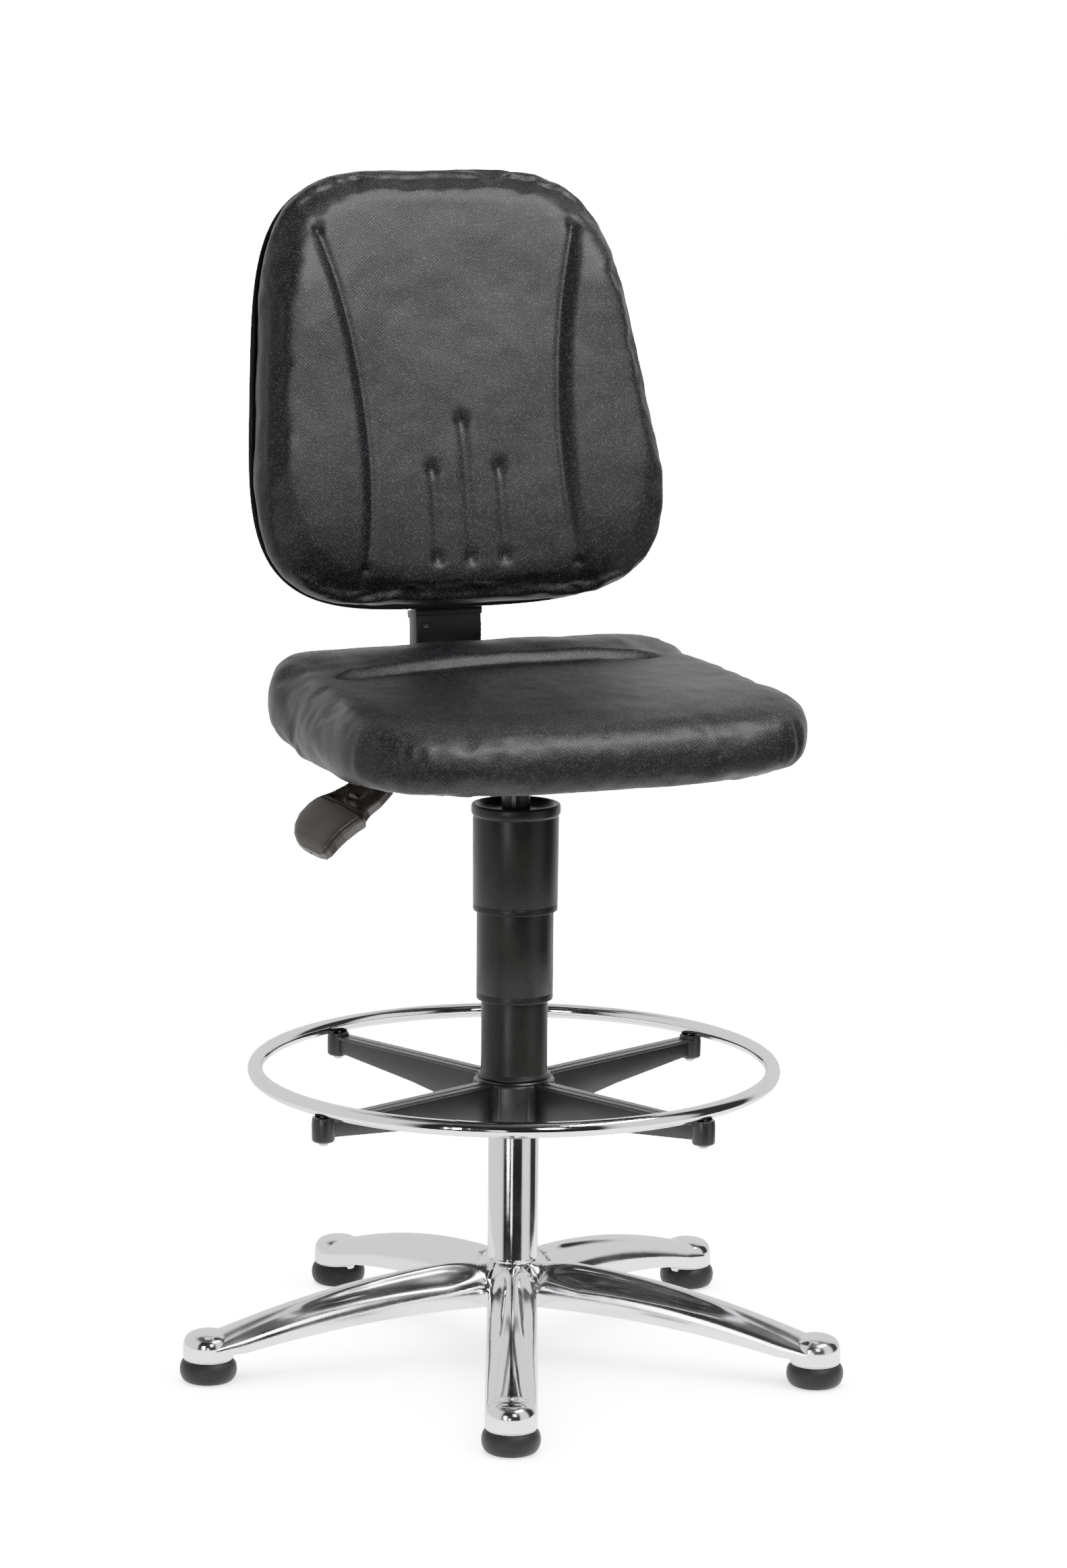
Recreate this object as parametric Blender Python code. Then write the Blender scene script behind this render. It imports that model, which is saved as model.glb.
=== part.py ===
"""Drafting chair: a gas-lift chair on a five-arm base with glides, a clamped foot ring, a telescopic
column cover, a tilting seat on an under-seat mechanism and a reclining, height-adjustable backrest.

Metres, +Z up. The sitter looks along -Y, so the sitter's right hand is at -X. Shapes are written
round the column axis; the whole chair hangs on one empty that sets its box centre over the origin.
"""

import math

import bmesh
import bpy
from mathutils import Matrix, Vector

# ---------------------------------------------------------------- driving dimensions
COLUMN_OFFSET = Vector((0.0208, -0.0092, 0.0))  # column axis from the centre of the chair's box
GAP = 0.0003  # between pieces that touch
RUNNING_GAP = 0.0006  # between pieces that slide or turn

# base
BASE_ARMS = 5
FRONT_ARM_DEG = -113.5
GLIDE_CIRCLE_R = 0.3115
GLIDE_R = 0.028
GLIDE_H = 0.024
BOSS_R = 0.024
ARM_HALF_WIDTH = 0.025
HUB_TOP_Z = 0.100
HUB_FOOT_Z = 0.046
STEM_R = 0.005

# column and gas spring
COLUMN_R = 0.025
COLUMN_FOOT_Z = 0.0505
COLUMN_TOP_Z = 0.333
CYLINDER_R = 0.014
CYLINDER_FOOT_Z = 0.200
CYLINDER_TOP_Z = 0.6085
ROD_R = 0.005
ROD_TOP_Z = 0.280

# foot ring
RING_R = 0.2552
RING_TUBE_R = 0.0075
RING_Z = 0.2936
SPIDER_ARMS = 4
FIRST_SPIDER_DEG = -158.5
SPIDER_HUB_FOOT_Z = 0.2285
SPIDER_HUB_TOP_Z = 0.2850

# telescopic cover
LOWER_SLEEVE = {"r": 0.0330, "foot": 0.2855, "top": 0.395}
MIDDLE_SLEEVE = {"r": 0.0380, "foot": 0.363, "top": 0.482}
UPPER_SLEEVE = {"r": 0.0425, "foot": 0.452, "top": 0.558}
SLEEVE_WALL = 0.0022
SLEEVE_FLOOR = 0.003  # inward flange at a sleeve's foot
UPPER_WEB_Z = 0.5480  # web that hangs the upper sleeve on the cylinder

# mechanism
HOUSING_HALF_X = 0.060
HOUSING_FRONT_Y = -0.115
HOUSING_BACK_Y = 0.070
HOUSING_FOOT_Z = 0.588
HOUSING_TOP_Z = 0.615
SHEET = 0.0025  # pressed steel
TILT_PIVOT = Vector((0.0, -0.070, 0.603))
RECLINE_PIVOT = Vector((0.0, 0.055, 0.602))
LEVER_PIVOT = Vector((-0.035, 0.0, 0.6165))
MAIN_PIN_R = 0.0040  # tilt and recline pins
LEVER_PIN_R = 0.0020
LEVER_ROD_R = 0.0030

# seat, in its own plane, which drops towards the front
SEAT_TILT = math.radians(2.6)
SEAT_BASE_Z = 0.6155
SEAT_CENTRE_Y = -0.0345
SEAT_HALF_WIDTH = 0.2345
SEAT_HALF_DEPTH = 0.1905
SEAT_TAPER = 0.03
SEAT_SQUARENESS = 5.0
SEAT_RECESS = 0.026  # hollow under the cushion, over the shell
SEAT_SHELL_FOOT = 0.0175
SEAT_SHELL_SCALE = 0.890
SEAT_PLATE_THICK = 0.003
SEAT_SCREWS = [(sx * 0.080, sy) for sx in (-1, 1) for sy in (-0.090, 0.070)]
SEAT_SCREW_R = 0.0030

# backrest, in the plane of its bar
RECLINE = math.radians(13.5)
BAR_BEND = Vector((0.0, 0.182, 0.715))  # where the upright bar leans back
BAR_HALF_WIDTH = 0.028
BAR_HALF_THICK = 0.003
BAR_LENGTH = 0.262  # above the bend
BACK_BOTTOM_U = 0.0085
BACK_HALF_HEIGHT = 0.220
BACK_HALF_WIDTH = 0.208
BACK_TAPER = 0.12
BACK_SQUARENESS = 3.85
BACK_WRAP = 0.018  # how far the sides come forward of the middle
SHELL_REAR_N = 0.024  # backrest shell behind the cushion, measured forward from the bar
SHELL_THICK = 0.010
BACK_PAD_THICK = 0.050
BACK_SCREWS = [(sx * 0.0500, u) for sx in (-1, 1) for u in (0.076, 0.180)]
BACK_SCREW_R = 0.0022
CARRIER_FLANGE = 0.0045

# finishes: colour, roughness, metallic
FINISHES = {
    "polished_aluminium": ((0.78, 0.78, 0.80), 0.12, 1.0),
    "chrome": ((0.80, 0.80, 0.82), 0.05, 1.0),
    "zinc_steel": ((0.55, 0.55, 0.57), 0.35, 1.0),
    "black_steel": ((0.03, 0.03, 0.032), 0.45, 0.0),
    "black_plastic": ((0.028, 0.028, 0.029), 0.42, 0.0),
    "brown_black_plastic": ((0.045, 0.038, 0.033), 0.45, 0.0),
    "black_rubber": ((0.016, 0.016, 0.017), 0.6, 0.0),
    "charcoal_fabric": ((0.030, 0.031, 0.034), 0.85, 0.0),
}


# ---------------------------------------------------------------- scene and placing
def clear_scene():
    for obj in list(bpy.data.objects):
        bpy.data.objects.remove(obj, do_unlink=True)


def finish(name):
    """One Principled material for each finish, made once."""
    if name in bpy.data.materials:
        return bpy.data.materials[name]
    colour, roughness, metallic = FINISHES[name]
    material = bpy.data.materials.new(name)
    material.use_nodes = True
    shader = material.node_tree.nodes["Principled BSDF"]
    shader.inputs["Base Color"].default_value = (*colour, 1.0)
    shader.inputs["Roughness"].default_value = roughness
    shader.inputs["Metallic"].default_value = metallic
    return material


AXES = {}


def add_axis(name, place=(0, 0, 0), parent=None):
    """An empty on a joint's axis. place is measured from the column axis at the floor."""
    empty = bpy.data.objects.new(name, None)
    empty.empty_display_size = 0.03
    bpy.context.scene.collection.objects.link(empty)
    place = Vector(place)
    if parent is None:
        empty.location = COLUMN_OFFSET + place
    else:
        empty.parent = AXES[parent][0]
        empty.location = place - AXES[parent][1]
    AXES[name] = (empty, place)


def mesh_object(name, shape, finish_name, axis, sharp_deg=32):
    """A bmesh written round the column becomes an object whose origin is on its joint's axis."""
    empty, place = AXES[axis]
    bmesh.ops.remove_doubles(shape, verts=shape.verts, dist=1e-7)
    bmesh.ops.recalc_face_normals(shape, faces=shape.faces)
    bmesh.ops.translate(shape, verts=shape.verts, vec=-place)
    mesh = bpy.data.meshes.new(name)
    shape.to_mesh(mesh)
    shape.free()
    mesh.shade_smooth()
    mesh.set_sharp_from_angle(angle=math.radians(sharp_deg))
    mesh.materials.append(finish(finish_name))
    obj = bpy.data.objects.new(name, mesh)
    obj.parent = empty
    return obj


def node(name, finish_name, axis, shape, adds=(), cuts=()):
    """One named sub-part: a shape, with others united to it and others cut from it."""
    obj = mesh_object(name, shape, finish_name, axis)
    bpy.context.scene.collection.objects.link(obj)
    for operation, shapes in (("UNION", adds), ("DIFFERENCE", cuts)):
        if not shapes:
            continue
        group = bpy.data.collections.new(f"{name}_{operation.lower()}")
        bpy.context.scene.collection.children.link(group)
        for count, piece in enumerate(shapes):
            guide = mesh_object(f"{name}_{operation.lower()}_{count}", piece, finish_name, axis)
            guide.hide_render = True
            guide.display_type = "WIRE"
            group.objects.link(guide)
        boolean = obj.modifiers.new(operation.lower(), "BOOLEAN")
        boolean.operation = operation
        boolean.operand_type = "COLLECTION"
        boolean.collection = group
        boolean.solver = "EXACT"
    return obj


# ---------------------------------------------------------------- shapes
def turned(profile, segments=28, centre=(0.0, 0.0)):
    """A ring of revolution about a vertical axis from a closed (radius, z) outline."""
    shape = bmesh.new()
    rings = []
    for radius, z in profile:
        if radius < 1e-6:
            rings.append([shape.verts.new((centre[0], centre[1], z))] * segments)
            continue
        ring = []
        for step in range(segments):
            angle = math.tau * step / segments
            x = centre[0] + radius * math.cos(angle)
            y = centre[1] + radius * math.sin(angle)
            ring.append(shape.verts.new((x, y, z)))
        rings.append(ring)
    for first, second in zip(rings, rings[1:] + rings[:1]):
        for step in range(segments):
            nxt = (step + 1) % segments
            corners = [first[step], first[nxt], second[nxt], second[step]]
            corners = list(dict.fromkeys(corners))
            if len(corners) > 2:
                shape.faces.new(corners)
    return shape


def tube_profile(outer, inner, low, high):
    return [(outer, low), (outer, high), (inner, high), (inner, low)]


def rod_profile(radius, low, high, chamfer=0.0005):
    return [(0, low), (radius - chamfer, low), (radius, low + chamfer),
            (radius, high - chamfer), (radius - chamfer, high), (0, high)]


def round_bar(start, end, radius, segments=10):
    """A straight cylinder between two points."""
    start, end = Vector(start), Vector(end)
    run = end - start
    turn = run.to_track_quat("Z", "Y").to_matrix().to_4x4()
    shape = bmesh.new()
    bmesh.ops.create_cone(
        shape, cap_ends=True, segments=segments, radius1=radius, radius2=radius,
        depth=run.length, matrix=Matrix.Translation((start + end) / 2) @ turn)
    return shape


def box(low, high):
    low, high = Vector(low), Vector(high)
    shape = bmesh.new()
    size = Matrix.Diagonal((*(high - low), 1.0))
    bmesh.ops.create_cube(shape, size=1.0, matrix=Matrix.Translation((low + high) / 2) @ size)
    return shape


def loft(sections):
    """A closed skin over a list of equal-length closed outlines, with flat ends."""
    shape = bmesh.new()
    loops = [[shape.verts.new(point) for point in section] for section in sections]
    count = len(loops[0])
    for first, second in zip(loops, loops[1:]):
        for step in range(count):
            nxt = (step + 1) % count
            shape.faces.new((first[step], first[nxt], second[nxt], second[step]))
    shape.faces.new(loops[0])
    shape.faces.new(list(reversed(loops[-1])))
    return shape


def swept(path, radius, sides=10):
    """A round wire or rod along a list of points."""
    path = [Vector(point) for point in path]
    normal = Vector((0, 0, 1))
    sections = []
    for count, point in enumerate(path):
        ahead = path[min(count + 1, len(path) - 1)]
        behind = path[max(count - 1, 0)]
        tangent = (ahead - behind).normalized()
        normal = (normal - tangent * normal.dot(tangent)).normalized()
        across = tangent.cross(normal)
        ring = []
        for step in range(sides):
            angle = math.tau * step / sides
            ring.append(point + radius * (math.cos(angle) * normal + math.sin(angle) * across))
        sections.append(ring)
    return loft(sections)


def strip(path, half_width, half_thick):
    """A flat bar across X along a path of (y, z) points; the path's bends are mitred."""
    sections = []
    points = [Vector(point) for point in path]
    runs = [(ahead - behind).normalized() for behind, ahead in zip(points, points[1:])]
    for count, (y, z) in enumerate(path):
        before, after = runs[max(count - 1, 0)], runs[min(count, len(runs) - 1)]
        run = (before + after).normalized()
        rise = Vector((-run[1], run[0])) * half_thick / run.dot(after)
        sections.append([
            (-half_width, y - rise[0], z - rise[1]), (half_width, y - rise[0], z - rise[1]),
            (half_width, y + rise[0], z + rise[1]), (-half_width, y + rise[0], z + rise[1])])
    return loft(sections)


def rounded_square(half_width, front, back, squareness, taper, steps=36):
    """Outline of a pad: a superellipse, wider towards its first end by the taper."""
    points = []
    for step in range(steps):
        angle = math.tau * step / steps
        cos, sin = math.cos(angle), math.sin(angle)
        along = math.copysign(abs(sin) ** (2 / squareness), sin)
        across = math.copysign(abs(cos) ** (2 / squareness), cos)
        length = back if along > 0 else front
        points.append((across * half_width * (1 - taper * along), along * length))
    return points


def pad(outline, rings, place):
    """A pad over an outline. rings are (scale, share of thickness, lift) from the top's middle,
    round the edge to the underside's middle; place turns (a, b, share, lift) into a point."""
    shape = bmesh.new()
    loops = []
    for scale, share, lift in rings:
        if scale < 1e-6:
            loops.append([shape.verts.new(place(0.0, 0.0, share, lift))] * len(outline))
        else:
            loops.append([shape.verts.new(place(a * scale, b * scale, share, lift))
                          for a, b in outline])
    for first, second in zip(loops, loops[1:]):
        for step in range(len(outline)):
            nxt = (step + 1) % len(outline)
            corners = list(dict.fromkeys([first[step], second[step], second[nxt], first[nxt]]))
            shape.faces.new(corners)
    return shape


def on_circle(radius, degrees, z):
    angle = math.radians(degrees)
    return Vector((radius * math.cos(angle), radius * math.sin(angle), z))


# ---------------------------------------------------------------- base
def arm_height(r):
    """Top ridge and lower edge of a base arm at a distance from the column."""
    reach = (r - 0.06) / (GLIDE_CIRCLE_R - 0.06)
    ridge = 0.1000 - 0.0170 * max(reach, 0) - 0.0370 * max(reach, 0) ** 2
    lower = 0.0545 - 0.0050 * max(reach, 0) - 0.0270 * max(reach, 0) ** 2
    return ridge, max(lower, GLIDE_H + 0.0006)


def base_arm(degrees):
    """A cast arm: ridge on top, hollow flanks, upright sides and a channel underneath."""
    turn = Matrix.Rotation(math.radians(degrees), 4, "Z")
    stations = [0.012, 0.045, 0.075, 0.11, 0.15, 0.19, 0.23, 0.265, 0.295, 0.318]
    sections = []
    for r in stations:
        ridge, lower = arm_height(r)
        half = ARM_HALF_WIDTH
        edge = lower + 0.50 * (ridge - lower)
        waist = edge + 0.30 * (ridge - edge)
        open_channel = 0.045 < r < 0.27
        roof = lower + (0.62 * (edge - lower) if open_channel else 0.0005)
        side = [(half, lower), (half, edge), (0.55 * half, waist), (0.24 * half, ridge - 0.0012)]
        outline = side + [(0.0, ridge)] + [(-w, z) for w, z in reversed(side)]
        outline += [(-half + 0.005, lower), (-half + 0.0065, roof),
                    (half - 0.0065, roof), (half - 0.005, lower)]
        sections.append([turn @ Vector((r, w, z)) for w, z in outline])
    return loft(sections)


def make_base():
    hub = turned([
        (0.0, HUB_FOOT_Z), (0.034, HUB_FOOT_Z), (0.0355, 0.055), (0.034, 0.088),
        (0.0290, 0.0955), (0.0272, HUB_TOP_Z), (0.0, HUB_TOP_Z)])
    adds, cuts = [], []
    for count in range(BASE_ARMS):
        degrees = FRONT_ARM_DEG + 72 * count
        spot = on_circle(GLIDE_CIRCLE_R, degrees, 0)
        adds.append(base_arm(degrees))
        adds.append(turned([
            (0.0, 0.0108), (BOSS_R - 0.001, 0.0108), (BOSS_R, 0.0118), (BOSS_R, 0.034),
            (BOSS_R - 0.004, 0.0410), (BOSS_R - 0.012, 0.0455), (0.0, 0.0468)], 18, spot))
        cuts.append(turned(rod_profile(STEM_R + GAP, 0.005, 0.0355), 10, spot))
    cuts.append(turned(rod_profile(COLUMN_R + GAP, COLUMN_FOOT_Z - GAP, 0.14)))
    cuts.append(turned(rod_profile(0.0215, 0.03, 0.06), 20))
    node("base_star", "polished_aluminium", "floor", hub, adds, cuts)

    for count in range(BASE_ARMS):
        spot = on_circle(GLIDE_CIRCLE_R, FRONT_ARM_DEG + 72 * count, 0)
        glide = turned([
            (0.0, 0.0), (GLIDE_R - 0.005, 0.0), (GLIDE_R - 0.0015, 0.003), (GLIDE_R, 0.009),
            (GLIDE_R, 0.017), (GLIDE_R - 0.0012, 0.022), (GLIDE_R - 0.003, GLIDE_H),
            (BOSS_R + GAP, GLIDE_H - 0.001), (BOSS_R + GAP, 0.0105),
            (STEM_R, 0.0105), (STEM_R, 0.0345), (STEM_R - 0.0008, 0.0352), (0.0, 0.0352)],
            18, spot)
        node(f"glide_{count + 1}", "black_rubber", "floor", glide)


# ---------------------------------------------------------------- column and gas spring
def make_column():
    inner = COLUMN_R - 0.0025
    tube = turned([
        (COLUMN_R, COLUMN_FOOT_Z), (COLUMN_R, COLUMN_TOP_Z), (inner, COLUMN_TOP_Z),
        (inner, COLUMN_FOOT_Z + 0.003), (ROD_R + 0.0012, COLUMN_FOOT_Z + 0.003),
        (ROD_R + 0.0012, COLUMN_FOOT_Z)])
    node("column_tube", "chrome", "floor", tube)
    bush_top = COLUMN_TOP_Z + GAP
    bush = turned([
        (inner - GAP, 0.245), (inner - GAP, bush_top), (COLUMN_R - 0.0005, bush_top),
        (COLUMN_R - 0.0005, bush_top + 0.003), (CYLINDER_R + GAP, bush_top + 0.003),
        (CYLINDER_R + GAP, 0.245)], 24)
    node("column_guide_bush", "black_plastic", "floor", bush)

    race = COLUMN_FOOT_Z + 0.003 + GAP
    for name, owner, low, high in (
            ("bearing_lower_race", "floor", race, race + 0.0015),
            ("bearing_cage", "floor", race + 0.0018, race + 0.0058),
            ("bearing_upper_race", "swivel_axis", race + 0.0061, race + 0.0076)):
        ring = turned(tube_profile(0.0140, ROD_R + 0.0012, low, high), 16)
        node(name, "zinc_steel", owner, ring)

    shoulder = race + 0.0076 + GAP
    rod = turned([
        (0.0, 0.0415), (ROD_R - 0.0008, 0.0415), (ROD_R, 0.0423), (ROD_R, 0.0438),
        (ROD_R - 0.0010, 0.0438), (ROD_R - 0.0010, 0.0466), (ROD_R, 0.0466),
        (ROD_R, shoulder), (0.0072, shoulder), (0.0072, shoulder + 0.003),
        (ROD_R, shoulder + 0.003), (ROD_R, ROD_TOP_Z - 0.016), (0.0035, ROD_TOP_Z - 0.016),
        (0.0035, ROD_TOP_Z), (0.0, ROD_TOP_Z)], 14)
    node("piston_rod", "chrome", "swivel_axis", rod)
    washer = turned(tube_profile(0.0125, ROD_R + GAP, 0.0472, 0.0500), 16)
    node("retaining_washer", "zinc_steel", "swivel_axis", washer)
    clip = turned(tube_profile(0.0085, ROD_R - 0.0010 + GAP, 0.0441, 0.0463), 16)
    mouth = box((0.0, -0.0030, 0.0430), (0.010, 0.0030, 0.0475))
    node("retaining_clip", "zinc_steel", "swivel_axis", clip, cuts=[mouth])
    piston = turned(tube_profile(0.0108, 0.0035 + GAP, ROD_TOP_Z - 0.0157, ROD_TOP_Z - 0.0005), 14)
    node("piston", "zinc_steel", "swivel_axis", piston)


def make_gas_spring():
    bore = 0.0115
    cone_foot, cone_top_r, bore_top = 0.572, 0.0132, 0.594
    cylinder = turned([
        (CYLINDER_R, CYLINDER_FOOT_Z), (CYLINDER_R, cone_foot), (cone_top_r, CYLINDER_TOP_Z),
        (0.0035, CYLINDER_TOP_Z), (0.0035, bore_top), (bore, bore_top), (bore, CYLINDER_FOOT_Z)], 22)
    node("gas_cylinder", "black_steel", "lift_axis", cylinder)
    guide = turned(tube_profile(
        bore - GAP, ROD_R + GAP, CYLINDER_FOOT_Z + 0.0005, CYLINDER_FOOT_Z + 0.012), 18)
    node("rod_seal", "black_rubber", "lift_axis", guide)
    pin = turned([
        (0.0, 0.587), (0.0055, 0.587), (0.0055, 0.5895), (0.0030, 0.5900),
        (0.0030, 0.6130), (0.0024, 0.6137), (0.0, 0.6137)], 10)
    node("release_pin", "zinc_steel", "pin_axis", pin)


# ---------------------------------------------------------------- foot ring
def spider_arm(degrees):
    turn = Matrix.Rotation(math.radians(degrees), 4, "Z")
    sections = []
    for r, half, foot in ((0.030, 0.0100, 0.2400), (0.060, 0.0095, 0.2420),
                          (0.140, 0.0092, 0.2540), (0.250, 0.0090, 0.2655)):
        top = 0.2835
        outline = [(half, foot), (half, top - 0.001), (half - 0.001, top),
                   (-half + 0.001, top), (-half, top - 0.001), (-half, foot)]
        sections.append([turn @ Vector((r, w, z)) for w, z in outline])
    return loft(sections)


def ring_of(centre_r, tube_r, around, sides):
    """A closed ring tube lying flat round the column."""
    profile = []
    for step in range(sides):
        angle = math.tau * (step + 0.5) / sides
        profile.append((centre_r + tube_r * math.cos(angle), RING_Z + tube_r * math.sin(angle)))
    return turned(profile, around)


def make_foot_ring():
    boss_foot, screw_r = 0.2620, 0.0029
    ring_foot = RING_Z - RING_TUBE_R * math.cos(math.pi / 8)
    spots = [on_circle(RING_R, FIRST_SPIDER_DEG + 90 * n, 0) for n in range(SPIDER_ARMS)]

    cavity = ring_of(RING_R, RING_TUBE_R - 0.0015, 48, 5)
    holes = [turned(rod_profile(screw_r + GAP, 0.2800, RING_Z), 8, spot) for spot in spots]
    node("footring_tube", "chrome", "ring_axis", ring_of(RING_R, RING_TUBE_R, 48, 8),
         cuts=[cavity] + holes)

    hub = turned([
        (0.0, SPIDER_HUB_FOOT_Z), (0.0375, SPIDER_HUB_FOOT_Z), (0.0392, 0.2303),
        (0.0405, 0.2400), (0.0412, 0.2790), (0.0395, SPIDER_HUB_TOP_Z),
        (0.0, SPIDER_HUB_TOP_Z)])
    adds = [spider_arm(FIRST_SPIDER_DEG + 90 * n) for n in range(SPIDER_ARMS)]
    adds += [turned(rod_profile(0.0115, boss_foot, ring_foot - GAP), 12, spot) for spot in spots]
    cuts = [turned(rod_profile(0.0278, 0.2, 0.32), 24)]
    cuts += [turned(rod_profile(screw_r + GAP, 0.25, 0.30), 8, spot) for spot in spots]
    clamp_way = on_circle(1.0, FIRST_SPIDER_DEG - 135, 0)
    clamp_z = Vector((0, 0, 0.2560))
    cuts.append(round_bar(clamp_way * 0.020 + clamp_z, clamp_way * 0.060 + clamp_z, 0.0043, 14))
    node("footring_spider", "black_plastic", "ring_axis", hub, adds, cuts)

    liner = turned(tube_profile(0.0278 - GAP, COLUMN_R + GAP, 0.2295, 0.2845), 24)
    node("footring_liner", "black_plastic", "ring_axis", liner)
    clamp = round_bar(clamp_way * 0.0280 + clamp_z, clamp_way * 0.0425 + clamp_z, 0.0040, 12)
    socket = round_bar(clamp_way * 0.0385 + clamp_z, clamp_way * 0.0500 + clamp_z, 0.0020, 6)
    node("footring_clamp_screw", "zinc_steel", "ring_axis", clamp, cuts=[socket])
    for count, spot in enumerate(spots):
        head = boss_foot - GAP
        screw = turned([
            (0.0, head - 0.0032), (0.0040, head - 0.0032), (0.0055, head - 0.0012),
            (0.0055, head), (screw_r, head), (screw_r, 0.2892), (0.0, 0.2892)], 12, spot)
        node(f"footring_screw_{count + 1}", "zinc_steel", "ring_axis", screw)


# ---------------------------------------------------------------- telescopic cover
def make_sleeves():
    r, foot, top = LOWER_SLEEVE["r"], LOWER_SLEEVE["foot"], LOWER_SLEEVE["top"]
    lower = turned([
        (COLUMN_R + GAP, foot), (r + 0.003, foot), (r + 0.003, foot + 0.0025),
        (r, foot + 0.0040), (r, top), (r - SLEEVE_WALL, top),
        (r - SLEEVE_WALL, foot + SLEEVE_FLOOR), (COLUMN_R + GAP, foot + SLEEVE_FLOOR)])
    node("sleeve_lower", "black_plastic", "floor", lower)

    r, foot, top = MIDDLE_SLEEVE["r"], MIDDLE_SLEEVE["foot"], MIDDLE_SLEEVE["top"]
    middle = turned([
        (r - 0.0035, foot), (r - 0.0010, foot), (r, foot + 0.0012), (r, top),
        (r - SLEEVE_WALL, top), (r - SLEEVE_WALL, foot + SLEEVE_FLOOR),
        (r - 0.0035, foot + SLEEVE_FLOOR)])
    node("sleeve_middle", "black_plastic", "middle_sleeve_axis", middle)

    r, foot, top = UPPER_SLEEVE["r"], UPPER_SLEEVE["foot"], UPPER_SLEEVE["top"]
    web = UPPER_WEB_Z
    upper = turned([
        (r - 0.0030, foot), (r - 0.0015, foot), (r - 0.0006, foot + 0.0010), (r, top - 0.0115),
        (r + 0.0015, top - 0.0090), (r + 0.0015, top - 0.0020), (r, top),
        (r - 0.0050, top), (r - 0.0075, top - 0.0045), (r - 0.0140, web + 0.0025),
        (CYLINDER_R + RUNNING_GAP, web + 0.0025), (CYLINDER_R + RUNNING_GAP, web),
        (r - 0.0030, web)])
    node("sleeve_upper", "black_plastic", "lift_axis", upper)
    ring = turned(tube_profile(0.0195, CYLINDER_R + GAP, web - 0.0045, web - GAP), 16)
    node("sleeve_retaining_ring", "black_rubber", "lift_axis", ring)


# ---------------------------------------------------------------- mechanism
def make_mechanism():
    half, front, back = HOUSING_HALF_X, HOUSING_FRONT_Y, HOUSING_BACK_Y
    foot, top = HOUSING_FOOT_Z, HOUSING_TOP_Z
    tray = box((-half, front, foot), (half, back, top))
    cuts = [
        box((-half + SHEET, front + SHEET, foot + SHEET), (half - SHEET, back + 0.01, top + 0.01)),
        box((-half + SHEET, 0.040, foot - 0.01), (half - SHEET, back + 0.01, foot + 0.02)),
        turned(rod_profile(0.0203, foot - 0.01, foot + 0.01), 24),
        box((-half - 0.01, -0.010, 0.6030), (-half + 0.01, 0.010, top + 0.01))]
    for pivot in (TILT_PIVOT, RECLINE_PIVOT):
        reach = Vector((half + 0.02, 0, 0))
        cuts.append(round_bar(pivot - reach, pivot + reach, MAIN_PIN_R + GAP, 12))
    node("mechanism_housing", "black_steel", "lift_axis", tray, cuts=cuts)

    socket = turned([
        (0.0200, 0.5800), (0.0200, 0.6070), (0.0136, 0.6070), (0.0142, 0.5800)], 24)
    node("cone_socket", "black_steel", "lift_axis", socket)

    for name, pivot, reach in (("tilt_pin", TILT_PIVOT, half + 0.0080),
                               ("recline_pin", RECLINE_PIVOT, half + 0.0040)):
        side = Vector((reach, 0, 0))
        pin = round_bar(pivot - side, pivot + side, MAIN_PIN_R, 12)
        head = round_bar(pivot + side - Vector((0.0015, 0, 0)), pivot + side + Vector((0.0015, 0, 0)),
                         0.0065, 16)
        node(name, "zinc_steel", "lift_axis", pin, adds=[head])

    coil = []
    turns, per_turn, start_x, end_x = 4, 10, 0.0340, 0.0540
    for step in range(turns * per_turn + 1):
        angle = math.tau * step / per_turn
        x = start_x + (end_x - start_x) * step / (turns * per_turn)
        coil.append(RECLINE_PIVOT + Vector((x, 0.0078 * math.cos(angle), 0.0078 * math.sin(angle))))
    node("recline_spring", "zinc_steel", "lift_axis", swept(coil, 0.0013, 5))

    bracket = box((-0.0450, -0.0110, foot + SHEET + GAP), (-0.0250, 0.0110, 0.6225))
    gap_cut = box((-0.0460, -0.0080, foot + SHEET + 0.003), (-0.0210, 0.0080, 0.6300))
    pin_hole = round_bar(LEVER_PIVOT - Vector((0, 0.02, 0)), LEVER_PIVOT + Vector((0, 0.02, 0)),
                         LEVER_PIN_R + GAP, 12)
    node("lever_bracket", "zinc_steel", "lift_axis", bracket, cuts=[gap_cut, pin_hole])
    pin = round_bar(LEVER_PIVOT - Vector((0, 0.0125, 0)), LEVER_PIVOT + Vector((0, 0.0125, 0)),
                    LEVER_PIN_R, 12)
    node("lever_pin", "zinc_steel", "lift_axis", pin)


# ---------------------------------------------------------------- lever
LEVER_ROOT = Vector((-0.1714, -0.0520, 0.5921))
LEVER_WAY = Vector((-0.764, -0.184, -0.619)).normalized()
ROD_IN_GRIP = 0.024
ROD_BEND = [(-0.1200, -0.0290, 0.6000), (-0.1450, -0.0420, 0.5962), (-0.1600, -0.0485, 0.5940)]
LEVER_ACROSS = (Vector((0.600, -0.800, 0.0))
                - LEVER_WAY * Vector((0.600, -0.800, 0.0)).dot(LEVER_WAY)).normalized()
LEVER_FACE = LEVER_WAY.cross(LEVER_ACROSS).normalized()


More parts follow.
